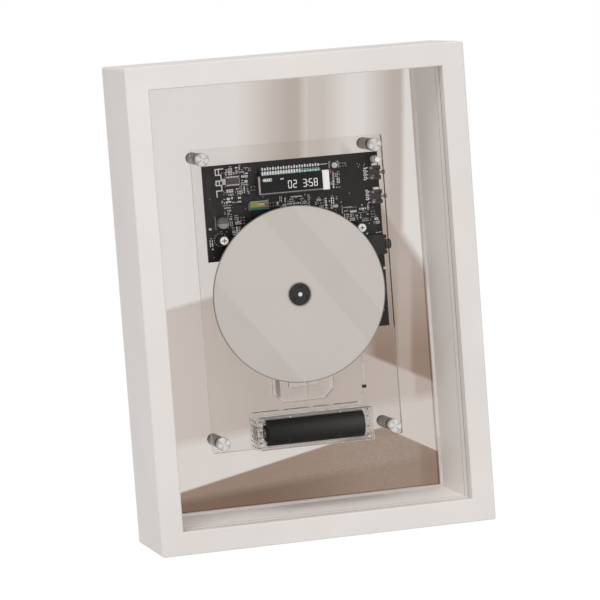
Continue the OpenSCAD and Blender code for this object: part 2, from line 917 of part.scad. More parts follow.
// Fields of chip resistors and capacitors: place from the left and top edges, columns, rows, pitch
part_fields = [[13.5, 5.5, 9, 1, 1.9], [26.5, 13.5, 3, 3, 1.9], [13.8, 17.8, 4, 2, 2.1],
    [22.5, 36.4, 3, 3, 2.0], [33.2, 16.5, 2, 2, 2.2],
    [45.5, 28.5, 9, 2, 2.1], [67.5, 28.8, 3, 2, 2.2], [79, 29.6, 3, 2, 2.0],
    [96.2, 5.9, 3, 2, 2.0], [91.5, 12.8, 2, 5, 1.8], [85.5, 33.6, 4, 2, 2.0], [99.5, 36.6, 4, 2, 1.9],
    [116, 40.6, 2, 3, 1.8]];
part_size = [1.0, 0.55, 0.55];

module chip_parts() {
    color("#B59A72")
        for (f = part_fields, i = [0 : f[2] - 1], j = [0 : f[3] - 1]) {
            x = board_left + f[0] + i * f[4];
            z = board_top - f[1] - j * f[4];
            turned = (i + 2 * j) % 3 == 0;
            w = turned ? part_size[1] : part_size[0];
            h = turned ? part_size[0] : part_size[1];
            slab(x - w / 2, x + w / 2, board_front - part_size[2], board_front, z - h / 2, z + h / 2);
        }
}

module crystal() {
    color(steel)
        plate(board_front - 1.1, board_front)
            translate([board_left + 14.4, board_top - 11.3])
                rounded(2.6, 4.2, 0.5);
}

module large_capacitor() {
    cx = board_left + 11.1;
    cz = board_bottom + 26.1;
    color("#A9A9AA") {
        drum(cx, cz, capacitor_r, board_front - 5.6, board_front - 0.5);
        drum(cx, cz, capacitor_r - 0.4, board_front - 0.5 - eps, board_front);
    }
}

// A cylinder on the headphone socket's axis between two places along X
module socket_barrel(r, from, to) {
    translate([from, board_front - socket_axis_in, zc + socket_z])
        rotate([0, 90, 0])
            cylinder(r = r, h = to - from, $fn = fine);
}

module headphone_socket() {
    mouth = board_right + socket_collar_len;
    front = board_front - socket_depth;
    body_end = board_right - socket_set_back;
    color(black_plastic)
        difference() {
            union() {
                slab(board_right - socket_body[0], body_end, front, board_front,
                    socket_z - socket_body[1] / 2, socket_z + socket_body[1] / 2);
                slab(body_end - eps, board_right + socket_neck_out, front, board_front,
                    socket_z - socket_neck_half, socket_z + socket_neck_half);
                for (side = [-1, 1])
                    slab(body_end - eps, board_right + socket_lug[0], front, board_front - socket_lug_back,
                        socket_z + side * socket_lug[2] - socket_lug[1] / 2,
                        socket_z + side * socket_lug[2] + socket_lug[1] / 2);
                socket_barrel(socket_shoulder_r, board_right, mouth - socket_rim_t);
                socket_barrel(socket_collar_r, mouth - socket_rim_t - 0.2, mouth);
            }
            socket_barrel(socket_r, mouth - socket_len, mouth + 1);
        }
}

module edge_lamp() {
    color("white")
        slab(board_right - lamp_size[0], board_right + 0.2, board_front - lamp_size[1], board_front,
            lamp_z - lamp_size[2] / 2, lamp_z + lamp_size[2] / 2);
}

module switch_bodies() {
    color(smoke)
        for (sz = switch_z) {
            difference() {
                slab(switch_pivot_x - switch_in, switch_pivot_x + switch_out,
                    board_front - switch_t, board_front, sz - switch_half_h, sz + switch_half_h);
                drum(switch_pivot_x, sz, rotor_r + move_gap, board_front - switch_t - 1, board_front - 1);
                plate(board_front - switch_t - 1, board_front - 1)
                    translate([switch_pivot_x, sz])
                        polygon([[0, -stem_w / 2 - move_gap], [switch_out + 1, -stem_w / 2 - move_gap
                            - (switch_out + 1) * tan(lever_swing)],
                            [switch_out + 1, stem_w / 2 + move_gap + (switch_out + 1) * tan(lever_swing)],
                            [0, stem_w / 2 + move_gap]]);
            }
            drum(switch_pivot_x, sz, lever_post_r, board_front - switch_t + 0.3, board_front - 1 + eps);
        }
}

module lever(sz) {
    y0 = board_front - 1 - 0.2 - rotor_t;
    y1 = board_front - 1 - 0.2;
    color(dark_steel)
        difference() {
            union() {
                drum(switch_pivot_x, sz, rotor_r, y0, y1);
                slab(switch_pivot_x, switch_pivot_x + stem_len, y0 + 0.2, y1 - 0.2,
                    sz - stem_w / 2, sz + stem_w / 2);
                slab(switch_pivot_x + stem_len - 1.8, switch_pivot_x + stem_len, y0 - 0.3, y1,
                    sz - stem_w / 2 - 0.5, sz + stem_w / 2 + 0.5);
            }
            drum(switch_pivot_x, sz, lever_post_r + run_fit, y0 - 1, y1 + 1);
        }
}

module upper_lever() {
    lever(switch_z[0]);
}

module lower_lever() {
    lever(switch_z[1]);
}

module ribbon_connectors() {
    color("#D9D6CE") {
        slab(ribbon_x - ribbon_plug_w / 2, ribbon_x + ribbon_plug_w / 2, board_front - ribbon_plug_t,
            board_front - ribbon_plug_t + 0.7, ribbon_top, ribbon_top + ribbon_plug_h);
        slab(ribbon_x - ribbon_plug_w / 2, ribbon_x + ribbon_plug_w / 2, board_front - 1, board_front,
            ribbon_top, ribbon_top + ribbon_plug_h);
        slab(ribbon_x - ribbon_plug_w / 2, ribbon_x + ribbon_plug_w / 2, board_front - ribbon_plug_t,
            board_front, ribbon_top + ribbon_plug_h - 1.2, ribbon_top + ribbon_plug_h);
        difference() {
            slab(ribbon_x - ribbon_w / 2 - 1, ribbon_x + ribbon_w / 2 + 1, ribbon_y - 1.4, mech_floor,
                ribbon_low - 4, ribbon_low);
            slab(ribbon_x - ribbon_w / 2 - 0.1, ribbon_x + ribbon_w / 2 + 0.1,
                ribbon_y - ribbon_t / 2 - 0.1, ribbon_y + ribbon_t / 2 + 0.1,
                ribbon_low - 2.2, ribbon_low + 1);
        }
    }
}

module pickup_ribbon() {
    color("#26262A")
        slab(ribbon_x - ribbon_w / 2, ribbon_x + ribbon_w / 2,
            ribbon_y - ribbon_t / 2, ribbon_y + ribbon_t / 2,
            ribbon_low - 2, ribbon_top + ribbon_plug_h - 1.4);
}

// ---- mechanism ----

module housing_outline() {
    polygon([[-mech_w / 2, -mech_drop + housing_chamfer[1]], [-mech_w / 2 + housing_chamfer[0], -mech_drop],
        [mech_w / 2 - housing_chamfer[0], -mech_drop], [mech_w / 2, -mech_drop + housing_chamfer[1]],
        [mech_w / 2, -housing_step_low], [housing_right, -housing_step_high], [housing_right, mech_rise],
        [-housing_left, mech_rise], [-housing_left, -housing_step_high], [-mech_w / 2, -housing_step_low]]);
}

// The same outline, one wall further in
module housing_inside() {
    w = mech_wall;
    cut = w * 0.45;
    polygon([[-mech_w / 2 + w, -mech_drop + housing_chamfer[1] + cut],
        [-mech_w / 2 + housing_chamfer[0] + cut, -mech_drop + w],
        [mech_w / 2 - housing_chamfer[0] - cut, -mech_drop + w],
        [mech_w / 2 - w, -mech_drop + housing_chamfer[1] + cut],
        [mech_w / 2 - w, -housing_step_low + w], [housing_right - w, -housing_step_high + w],
        [housing_right - w, mech_rise - w], [-housing_left + w, mech_rise - w],
        [-housing_left + w, -housing_step_high + w], [-mech_w / 2 + w, -housing_step_low + w]]);
}

module mech_housing() {
    color(clear_tint)
        difference() {
            union() {
                plate(mech_floor, mech_back)
                    housing_outline();
                plate(mech_front, mech_back)
                    difference() {
                        housing_outline();
                        housing_inside();
                    }
                for (p = mech_posts)
                    drum(p[0], p[1], mech_post_r, player_back + damper_t, mech_back);
                for (p = mech_posts)
                    if (p[0] < -housing_left)
                        slab(p[0], -housing_left + eps, player_back + damper_t + 1, mech_back,
                            p[1] - 1.2, p[1] + 1.2);
                slab(rod_x - rod_r - 1.2, rod_x + rod_r + 1.2, rod_y - rod_r - 1.2, mech_back,
                    -rod_block_up, -rod_block_up + rod_block_t);
                slab(thin_rod_x - thin_rod_r - 1.2, thin_rod_x + thin_rod_r + 1.2,
                    rod_y - thin_rod_r - 1.2, mech_back, -rod_block_up, -rod_block_up + rod_block_t);
                drum(pinion_x, pinion_z, gear_pin_r, rack_front - 1, mech_back);
            }
            for (p = mech_posts)
                drum(p[0], p[1], small_screw_r + screw_fit, player_back - 1, mech_floor - 2);
            guide_rod_shape(screw_fit);
            slab(ribbon_x - ribbon_w / 2 - 0.5, ribbon_x + ribbon_w / 2 + 0.5, mech_front - 1, ribbon_y + 1,
                mech_rise - mech_wall - 1, mech_rise + 1);
            for (side = [-1, 1])
                drum(side * motor_screw_x, 0, small_screw_r + screw_fit, mech_floor - 1, mech_back + 1);
        }
}

// One rod, from its low end to its block; low is the rise over the housing's bottom face
module rod(x, r, low, grow) {
    translate([x, rod_y, zc - mech_drop + low - grow])
        cylinder(r = r + grow, h = mech_drop - low - rod_block_up + rod_in_block + 2 * grow, $fn = fine);
}

module guide_rod_shape(grow) {
    rod(rod_x, rod_r, rod_low, grow);
    rod(thin_rod_x, thin_rod_r, thin_rod_low, grow);
}

module guide_rods() {
    color(steel)
        guide_rod_shape(0);
}

module mech_dampers() {
    color(black_plastic)
        for (p = mech_posts)
            difference() {
                drum(p[0], p[1], mech_post_r - 0.2, player_back, player_back + damper_t);
                drum(p[0], p[1], small_screw_r + 0.3, player_back - 1, player_back + damper_t + 1);
            }
}

module mech_screws() {
    color(steel)
        for (p = mech_posts)
            pan_screw(p[0], p[1], player_front, 1, small_head_r, small_head_t, small_screw_r,
                mech_screw_len);
}

motor_screw_x = 7;
motor_bore_r = shaft_r + run_fit;

module spindle_motor() {
    color(steel)
        difference() {
            union() {
                drum(0, 0, motor_r, motor_front + 0.6, mech_floor);
                taper(0, 0, motor_r - 0.6, motor_r, motor_front, motor_front + 0.6);
                drum(0, 0, 3.2, motor_front - 1.4, motor_front + eps);
            }
            drum(0, 0, motor_bore_r, motor_front - 2, shaft_end + 0.4);
            for (side = [-1, 1])
                drum(side * motor_screw_x, 0, small_screw_r + screw_fit, mech_floor - 3.2, mech_floor + 1);
        }
}

holder_screw_x = [-20, 24];

// Two screws behind the spindle motor and two behind the battery holder
module small_screws() {
    color(steel) {
        for (side = [-1, 1])
            pan_screw(side * motor_screw_x, 0, mech_back, -1, small_head_r, small_head_t, small_screw_r,
                mech_base_t + 3);
        for (x = holder_screw_x)
            pan_screw(x, cell_z, player_back, -1, small_head_r, small_head_t, small_screw_r,
                player_t + holder_floor_t - 0.4);
    }
}

module sled_motor() {
    color("#B4B4B2")
        difference() {
            intersection() {
                drum(sled_motor_x, pinion_z, sled_motor_r, player_back + 0.7, wheel_front - move_gap);
                slab(sled_motor_x - sled_motor_r, sled_motor_x + sled_motor_r, player_back, mech_back,
                    pinion_z - sled_motor_r + 1, pinion_z + sled_motor_r - 1);
            }
            drum(sled_motor_x, pinion_z, gear_pin_r + run_fit, rack_front - 1, wheel_back);
        }
    // Bracket that carries the motor from the housing's wall
    color("#B4B4B2")
        slab(sled_motor_x + 4, housing_right - mech_wall, wheel_front - move_gap - 3,
            wheel_front - move_gap - 0.6, pinion_z - 2, pinion_z + 2);
}

module turntable_hub() {
    color(black_plastic)
        difference() {
            union() {
                drum(0, 0, turntable_r, turntable_front, turntable_back);
                drum(0, 0, boss_r, boss_front + 0.5, turntable_front + eps);
                taper(0, 0, boss_r - 0.5, boss_r, boss_front, boss_front + 0.5);
                drum(0, 0, hub_sleeve_r, turntable_back - eps, hub_sleeve_back);
            }
            drum(0, 0, shaft_r + 0.02, boss_front - 1, hub_sleeve_back + 1);
            for (k = [0 : 2])
                pawl_slot(90 + 120 * k);
        }
}

// Slot for a pawl: open to the front and to the rim, roofed over the pawl's foot
module pawl_slot(angle) {
    translate([0, 0, zc])
        rotate([0, -angle, 0]) {
            translate([pawl_foot_r - pawl_travel - 0.15, boss_front + 0.6, -pawl_w / 2 - 0.1])
                cube([disc_hole_r, turntable_front - boss_front - 0.6 - 0.3, pawl_w + 0.2]);
            translate([4.4, boss_front - 1, -pawl_w / 2 - 0.1])
                cube([disc_hole_r, 2, pawl_w + 0.2]);
        }
}

module pawl(angle) {
    color(black_plastic)
        translate([0, 0, zc])
            rotate([0, -angle, 0]) {
                translate([pawl_foot_r, boss_front + 0.75, -pawl_w / 2])
                    cube([pawl_nose_r - pawl_foot_r, turntable_front - boss_front - 0.75 - 0.45, pawl_w]);
                translate([5.4, boss_front + 0.2, -pawl_w / 2])
                    cube([pawl_nose_r - 5.4 - 0.3, 0.6, pawl_w]);
            }
}

module hub_pawl_1() {
    pawl(90);
}

module hub_pawl_2() {
    pawl(210);
}

module hub_pawl_3() {
    pawl(330);
}

module motor_shaft() {
    color("#E8E6E0")
        drum(0, 0, shaft_r, boss_front - shaft_proud, shaft_end);
}

module disc() {
    color(print_grey)
        difference() {
            drum(0, 0, disc_r, disc_front, disc_back, 160);
            drum(0, 0, disc_hole_r, disc_front - 1, disc_back + 1);
        }
}

module pickup_carriage() {
    lens_z = -lens_park;
    cut = 4;
    color(black_plastic)
        difference() {
            union() {
                plate(sled_front, sled_back)
                    polygon([[-sled_left, sled_bottom + cut], [-sled_left + cut, sled_bottom],
                        [rack_back_x + 0.2, sled_bottom], [rack_back_x + 0.2, lens_z + sled_up],
                        [-sled_left, lens_z + sled_up]]);
                drum(0, lens_z, turret_r, turret_front, sled_front + eps);
                plate(rack_front, rack_back)
                    rack_shape();
            }
            drum(0, lens_z, lens_r + move_gap, turret_front - 1, lens_front + lens_len + 0.8);
            translate([rod_x, rod_y, zc + sled_bottom - 1])
                cylinder(r = rod_r + run_fit, h = sled_up + sled_down + 2, $fn = fine);
            translate([thin_rod_x, rod_y, zc + sled_bottom - 1])
                cylinder(r = thin_rod_r + run_fit, h = sled_up + sled_down + 2, $fn = fine);
        }
}

module pickup_lens() {
    lens_z = -lens_park;
    color("#8FA3B0") {
        drum(0, lens_z, lens_r, lens_front + 0.4, lens_front + lens_len);
        taper(0, lens_z, lens_r * 0.5, lens_r * 0.62, lens_front, lens_front + 0.4 + eps);
    }
}

module drive_gear() {
    color("#E9E7E1")
        difference() {
            union() {
                plate(wheel_front, wheel_back)
                    translate([pinion_x, pinion_z])
                        gear_shape(gear_m, wheel_teeth);
                plate(rack_front - 0.3, wheel_front + eps)
                    translate([pinion_x, pinion_z])
                        rotate(180)
                            gear_shape(gear_m, pinion_teeth);
            }
            drum(pinion_x, pinion_z, gear_pin_r + run_fit, rack_front - 2, wheel_back + 1);
        }
}

module motor_pinion() {
    color(brass_gold) {
        plate(wheel_front, wheel_back)
            translate([sled_motor_x, pinion_z])
                rotate(180 + 180 / motor_teeth)
                    gear_shape(gear_m, motor_teeth);
        drum(sled_motor_x, pinion_z, gear_pin_r, rack_front, wheel_front + eps);
    }
}

// ---- battery ----

module wire_hole(y0, y1) {
    for (i = [0, 1])
        drum(wire_hole_x, cell_z + wire_hole_z + i * wire_hole_pitch, wire_r + 0.1, y0, y1);
}

// Fins at the two ends of the holder: the left ones stop the cell, the right ones stiffen the end wall
module holder_fins() {
    fin_left = cell_left - fin_gap - fin_t;
    fin_right = contact_right_x + contact_t + 0.2;
    for (z = [[holder_bottom, cell_z - 5.6], [cell_z + 5.6, shelf_low + eps]])
        slab(fin_left, fin_left + fin_t, holder_front + 8, player_front, z[0], z[1]);
    for (z = [cell_z - 8.3, cell_z - 6.2, cell_z + 6.4, cell_z + 8.6])
        slab(-holder_w / 2 + holder_end_t - eps, fin_left + eps, holder_front + 4, player_front,
            z - rib_t / 2, z + rib_t / 2);
    for (z = [cell_z - 8.3, cell_z - 6.2, cell_z - 2])
        slab(fin_right, holder_w / 2 - holder_end_t + eps, holder_front + 4, player_front,
            z - rib_t / 2, z + rib_t / 2);
}

module battery_holder() {
    ends = holder_w / 2;
    color(clear_tint)
        difference() {
            union() {
                slab(-ends, ends, player_front - holder_floor_t, player_front, holder_bottom, holder_top);
                slab(-ends, ends, holder_front, player_front, holder_bottom, holder_bottom + holder_wall);
                slab(-ends, ends, holder_front, player_front, holder_top - holder_top_t, holder_top);
                slab(-ends + 0.4, ends - 0.4, holder_front + 1.5, player_front,
                    shelf_low, shelf_low + shelf_t);
                for (side = [-1, 1])
                    slab(side > 0 ? ends - holder_end_t : -ends, side > 0 ? ends : -ends + holder_end_t,
                        holder_front, player_front, holder_bottom, holder_top);
                holder_fins();
                for (x = holder_tabs) {
                    slab(x - tab_w / 2, x + tab_w / 2, holder_front - 0.6, holder_front + 2,
                        holder_top - holder_top_t - 0.6, holder_top);
                    slab(x - tab_w / 2, x + tab_w / 2, holder_front - 0.6, holder_front + 2,
                        holder_bottom, holder_bottom + holder_wall);
                }
            }
            wire_hole(player_front - holder_floor_t - 1, player_front + 1);
            for (x = holder_screw_x)
                drum(x, cell_z, small_screw_r + screw_fit, player_front - holder_floor_t - 1,
                    player_front + 1);
        }
}

// Thickness of the end fins, their gap to the cell, thickness of their ribs and width of the four tabs
fin_t = 1.3;
fin_gap = 0.9;
rib_t = 0.8;
tab_w = 1.8;
holder_tabs = [-17.5, 17.4];

module battery_contacts() {
    color(steel) {
        slab(contact_left_x - 0.4, contact_left_x + contact_t, cell_y - contact_w / 2,
            player_front - holder_floor_t, cell_z - contact_w / 2, cell_z + contact_w / 2);
        slab(contact_right_x, contact_right_x + contact_t, cell_y - contact_w / 2,
            player_front - holder_floor_t, cell_z - contact_w / 2, cell_z + contact_w / 2);
    }
}

spring_x0 = contact_left_x + contact_t + spring_wire_r;
spring_x1 = cell_left - move_gap - spring_wire_r;
spring_rings = spring_curls * 8;
spring_sides = 6;

function spring_centre(t) =
    let (r = spring_r_wide + (spring_r_narrow - spring_r_wide) * t, a = 360 * spring_curls * t)
    [spring_x0 + (spring_x1 - spring_x0) * t, cell_y + r * cos(a), cell_z + r * sin(a)];

function spring_points() =
    [for (i = [0 : spring_rings], s = [0 : spring_sides - 1])
        let (t = i / spring_rings, a = 360 * spring_curls * t, w = 360 * s / spring_sides,
            c = spring_centre(t))
        c + spring_wire_r * [sin(w), cos(w) * cos(a), cos(w) * sin(a)] + [0, 0, zc]];

// Least gap between one curl and the next, measured on the tube's centre points
spring_least_gap = min([for (i = [0 : spring_rings - 8])
    norm(spring_centre((i + 8) / spring_rings) - spring_centre(i / spring_rings)) - 2 * spring_wire_r]);
echo(spring_least_gap = spring_least_gap);

module battery_spring() {
    color(steel)
        polyhedron(points = spring_points(), faces = tube_faces(spring_rings + 1, spring_sides),
            convexity = 10);
}

module battery_cell() {
    color("#2B2B2C") {
        translate([cell_left, cell_y, zc + cell_z])
            rotate([0, 90, 0])
                cylinder(r = cell_r, h = cell_len, $fn = fine);
        translate([cell_right - eps, cell_y, zc + cell_z])
            rotate([0, 90, 0])
                cylinder(r = nub_r, h = nub_len + eps, $fn = fine);
    }
}

// Rings' centres along a lead, one at every bend and at most a step apart between them
function lead_path(points) = concat(
    [for (i = [0 : len(points) - 2])
        let (n = ceil(norm(points[i + 1] - points[i]) / wire_step))
        each [for (k = [0 : n - 1]) points[i] + (points[i + 1] - points[i]) * k / n]],
    [points[len(points) - 1]]);

function unit(v) = v / norm(v);

// Direction of the tube at a ring
function heading(path, i) =
    unit(path[min(i + 1, len(path) - 1)] - path[max(i - 1, 0)]);

function ring_at(path, i) =
    let (t = heading(path, i), u = unit(cross(t, [1, 0, 0])), v = cross(t, u))
    [for (s = [0 : wire_sides - 1])
        path[i] + wire_r * (cos(360 * s / wire_sides) * u + sin(360 * s / wire_sides) * v)];

function tube_faces(rings, sides) = concat(
    [[for (s = [0 : sides - 1]) s]],
    [[for (s = [sides - 1 : -1 : 0]) (rings - 1) * sides + s]],
    [for (i = [0 : rings - 2], s = [0 : sides - 1])
        let (a = i * sides + s, b = i * sides + (s + 1) % sides)
        each [[a, b + sides, b], [a, a + sides, b + sides]]]);

module lead(points) {
    path = lead_path(points);
    polyhedron(points = [for (i = [0 : len(path) - 1]) each ring_at(path, i)],
        faces = tube_faces(len(path), wire_sides), convexity = 10);
}

module battery_wires() {
    color("#BDB6AE")
        translate([0, player_back, zc]) {
            lead(right_lead);
            lead(left_lead);
        }
}

// The plug of the battery leads on the board's leg and the clip on the panel's back
module wire_fittings() {
    color("#E8E6E0")
        slab(lead_x - 3, lead_x + 3, board_front - 3.4, board_front, lead_z, lead_z + 5);
    color(black_plastic)
        difference() {
            slab(clip_x - clip_half - 0.35, clip_x + clip_half + 0.35, player_back, wire_y + wire_r + 0.7,
                clip_z - 1, clip_z + 1);
            slab(clip_x - clip_half, clip_x + clip_half, wire_y - wire_r - 0.15, wire_y + wire_r + 0.15,
                clip_z - 2, clip_z + 2);
        }
}

rail_top();
rail_bottom();
rail_left();
rail_right();
liner_top();
liner_bottom();
liner_left();
liner_right();
back_ring();
back_pane();
ring_screws();
hanger_plates();
hanger_screws();
post_barrels();
post_caps();
post_screws();
player_panel();
circuit_board();
board_supports();
board_screws();
display_glass();
display_backlight();
display_bezel();
display_pins();
main_chip();
small_chips();
chip_parts();
crystal();
large_capacitor();
headphone_socket();
edge_lamp();
switch_bodies();
ribbon_connectors();
pickup_ribbon();
wire_fittings();
battery_wires();
mech_housing();
mech_dampers();
mech_screws();
spindle_motor();
small_screws();
guide_rods();
sled_motor();
battery_holder();
battery_contacts();
battery_spring();
turntable_hub();
motor_shaft();
hub_pawl_1();
hub_pawl_2();
hub_pawl_3();
disc();
pickup_carriage();
pickup_lens();
drive_gear();
motor_pinion();
upper_lever();
lower_lever();
battery_cell();
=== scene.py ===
import math
import random

import bmesh
import bpy
from mathutils import Matrix, Vector


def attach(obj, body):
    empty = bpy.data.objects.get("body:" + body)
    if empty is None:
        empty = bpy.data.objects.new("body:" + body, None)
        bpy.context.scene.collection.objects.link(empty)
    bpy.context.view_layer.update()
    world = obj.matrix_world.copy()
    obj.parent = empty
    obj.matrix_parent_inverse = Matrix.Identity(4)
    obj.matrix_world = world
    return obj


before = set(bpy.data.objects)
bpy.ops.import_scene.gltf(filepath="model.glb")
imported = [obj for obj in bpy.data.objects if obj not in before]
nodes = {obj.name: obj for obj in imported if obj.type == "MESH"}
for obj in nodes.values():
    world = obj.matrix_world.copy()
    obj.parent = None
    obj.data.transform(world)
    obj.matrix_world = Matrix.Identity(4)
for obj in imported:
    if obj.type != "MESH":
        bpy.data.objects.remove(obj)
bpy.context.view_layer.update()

# Places and sizes in millimetres, in the frame of the CAD
MM = 0.001
ZC = 162.0                      # height of the disc's centre
DISC_R, HUB_R = 60.0, 8.4       # the disc's rim and the line round its hub
POST_X, POST_Z = 60.2, 96.0     # posts, either side of the disc's centre
PANE_X, PANE_Z = 98.5, 144.5    # half sizes of the pane that shows inside its ring
BOARD = 14.9                    # front of the circuit board
GLASS = 9.7                     # front of the display's glass
RIBBON_PLUG = 12.52             # where the films on the ribbon's plug end, just inside it
CAN_X, CAN_Z, CAN_FRONT = -46.4, 213.8, 9.26        # large capacitor
SCREW_X, SCREW_Z, SCREW_R = 48.2, 202.3, 4.3        # lower screws of the board, ring of ticks round one
CHIP_X, CHIP_W = -36.9, 8.6                         # main chip
SWITCHES = (238.3, 221.9)       # heights of the two switches
SOCKET_Y, SOCKET_Z = 12.1, 189.2                    # axis of the headphone socket
CELL_Y, CELL_Z, CELL_R = -5.6, 71.6, 9.3            # axis and radius of the cell
HOLDER_X, HOLDER_FRONT, HOLDER_TOP = 40.4, -17.5, 84.3      # outer faces of the cell holder
HOUSING_LINE = 8.86             # where the lines on the housing's front end, just inside it
LINER_X, LINER_LOW, LINER_HIGH = 100.5, 15.5, 308.5     # inner faces of the lining

# Noise stays near its middle, so looks are spread over this part of its range
NOISE_LOW, NOISE_HIGH = 0.3, 0.7


# ---- camera ----
LENS, SENSOR = 217.26, 36.0     # the camera's own millimetres
CAMERA_PLACE = (-0.61151, -2.35112, 0.39664)
CAMERA_LOOK = (0.2505, 0.96317, -0.09776)
CAMERA_UP = (0.09636, 0.07568, 0.99247)


def make_camera():
    cam = bpy.data.cameras.new("camera")
    cam.lens = LENS
    cam.sensor_width = SENSOR
    cam.clip_start = 0.05
    cam.clip_end = 30.0
    obj = bpy.data.objects.new("camera", cam)
    bpy.context.scene.collection.objects.link(obj)
    back = -Vector(CAMERA_LOOK).normalized()
    up = Vector(CAMERA_UP).normalized()
    right = up.cross(back).normalized()
    up = back.cross(right)
    m = Matrix((right, up, back)).transposed().to_4x4()
    m.translation = Vector(CAMERA_PLACE)
    obj.matrix_world = m
    bpy.context.scene.camera = obj


make_camera()


# ---- materials ----
def rgb(h):
    """Linear colour from an sRGB hex string."""
    out = []
    for i in (0, 2, 4):
        c = int(h[i:i + 2], 16) / 255
        out.append(c / 12.92 if c <= 0.04045 else ((c + 0.055) / 1.055) ** 2.4)
    return out


class Nodes:
    """A small helper to wire a material's nodes."""

    def __init__(self, name):
        self.mat = bpy.data.materials.new(name)
        self.mat.use_nodes = True
        self.t = self.mat.node_tree
        self.t.nodes.clear()
        self.out = self.t.nodes.new("ShaderNodeOutputMaterial")

    def add(self, kind, sockets=None, **values):
        """A node with its settings, and what goes into its sockets by name or number."""
        n = self.t.nodes.new(kind)
        for k, v in values.items():
            setattr(n, k, v)
        for k, v in (sockets or {}).items():
            self.put(n.inputs[k], v)
        return n

    def put(self, socket, value):
        if isinstance(value, bpy.types.NodeSocket):
            self.t.links.new(value, socket)
        elif isinstance(value, (list, tuple)) and len(value) == 3 and socket.type == "RGBA":
            socket.default_value = (*value, 1.0)
        else:
            socket.default_value = value

    def coord(self):
        return self.add("ShaderNodeTexCoord").outputs["Object"]

    def noise(self, vector, scale, detail=3.0):
        n = self.add("ShaderNodeTexNoise", {"Vector": vector, "Scale": scale, "Detail": detail})
        return n.outputs["Fac"]

    def stretch(self, vector, scale):
        return self.add("ShaderNodeMapping", {"Vector": vector, "Scale": scale}).outputs["Vector"]

    def remap(self, value, a, b, lo=0.0, hi=1.0):
        """From a at lo to b at hi, flat beyond them."""
        sockets = {"Value": value, "From Min": lo, "From Max": hi, "To Min": a, "To Max": b}
        return self.add("ShaderNodeMapRange", sockets, clamp=True).outputs["Result"]

    def spread(self, noise, a, b):
        """Noise as a value from a to b."""
        return self.remap(noise, a, b, NOISE_LOW, NOISE_HIGH)

    def math(self, op, a, b=0.0, clamp=False):
        return self.add("ShaderNodeMath", {0: a, 1: b}, operation=op, use_clamp=clamp).outputs[0]

    def plus(self, a, b, clamp=False):
        return self.math("ADD", a, b, clamp)

    def minus(self, a, b):
        return self.math("SUBTRACT", a, b)

    def times(self, a, b):
        return self.math("MULTIPLY", a, b)

    def size_of(self, a):
        return self.math("ABSOLUTE", a)

    def length(self, a, b):
        return self.math("SQRT", self.plus(self.times(a, a), self.times(b, b)))

    def hump(self, v, a, b, c, d):
        """Rises from a to b and falls from c to d, all in millimetres."""
        return self.times(self.remap(v, 0.0, 1.0, a * MM, b * MM), self.remap(v, 1.0, 0.0, c * MM, d * MM))

    def from_post(self, xyz):
        """Sideways and upward distance from the axis of the nearest post."""
        dx = self.minus(self.size_of(xyz[0]), POST_X * MM)
        dz = self.minus(self.size_of(self.minus(xyz[2], ZC * MM)), POST_Z * MM)
        return dx, dz

    def mix(self, fac, a, b):
        return self.add("ShaderNodeMix", {0: fac, 6: a, 7: b}, data_type="RGBA").outputs[2]

    def blend(self, fac, a, b):
        """Mix of two values."""
        return self.add("ShaderNodeMix", {0: fac, 2: a, 3: b}, data_type="FLOAT").outputs[0]

    def split(self, vector):
        return self.add("ShaderNodeSeparateXYZ", {0: vector}).outputs

    def bump(self, height, strength, distance):
        sockets = {"Height": height, "Strength": strength, "Distance": distance}
        return self.add("ShaderNodeBump", sockets).outputs["Normal"]

    def paint(self, col, rough, **more):
        """A principled shader; more names its other sockets, with _ for a space."""
        sockets = {k.replace("_", " "): v for k, v in more.items()}
        return self.add("ShaderNodeBsdfPrincipled", {"Base Color": col, "Roughness": rough, **sockets})

    def veil(self, fac, see_colour, p):
        """Lets fac of the paint p cover what is seen through the surface, and finishes the material."""
        see = self.add("ShaderNodeBsdfTransparent", {"Color": see_colour})
        return self.finish(self.add("ShaderNodeMixShader", {0: fac, 1: see.outputs[0], 2: p.outputs[0]}))

    def finish(self, shader):
        self.t.links.new(shader.outputs[0], self.out.inputs["Surface"])
        return self.mat


def shades(base, vary):
    """A darker and a lighter shade of a colour."""
    return [v * (1 - vary) for v in base], [min(1.0, v * (1 + vary)) for v in base]


def surface(name, colour, rough, metal, vary, size, bump, grain, **more):
    """A solid finish: mottled colour, uneven gloss and a fine surface; size and grain in millimetres."""
    m = Nodes(name)
    c = m.coord()
    big = m.noise(c, 1000.0 / size, 4.0)
    fine = m.noise(c, 1000.0 / grain)
    col = m.mix(m.spread(big, 0.0, 1.0), *shades(rgb(colour), vary))
    gloss = m.spread(fine, max(0.02, rough - 0.05), min(1.0, rough + 0.07))
    return m.finish(m.paint(col, gloss, Normal=m.bump(fine, bump, 0.0001), Metallic=metal, **more))


def rod_metal():
    """Guide rods: the left one darker, the right one paler, with fine lines along both, and a painted glow
    that keeps them pale in shade.
    """
    m = Nodes("guide_rod")
    c = m.coord()
    lines = m.noise(m.stretch(c, (2500, 2500, 20)), 1.0, 2.0)
    right = m.remap(m.split(c)[0], 0.0, 1.0, -0.003, 0.003)
    col = m.mix(right, rgb("B2AAA2"), rgb("EAE3DC"))
    col = m.mix(m.spread(lines, 0.0, 0.2), col, rgb("8E8680"))
    # painted light: the emission is a glow that keeps the rods pale in shade
    return m.finish(m.paint(col, m.spread(lines, 0.22, 0.36), Normal=m.bump(lines, 0.08, 0.00008),
                            Emission_Color=col, Emission_Strength=0.22))


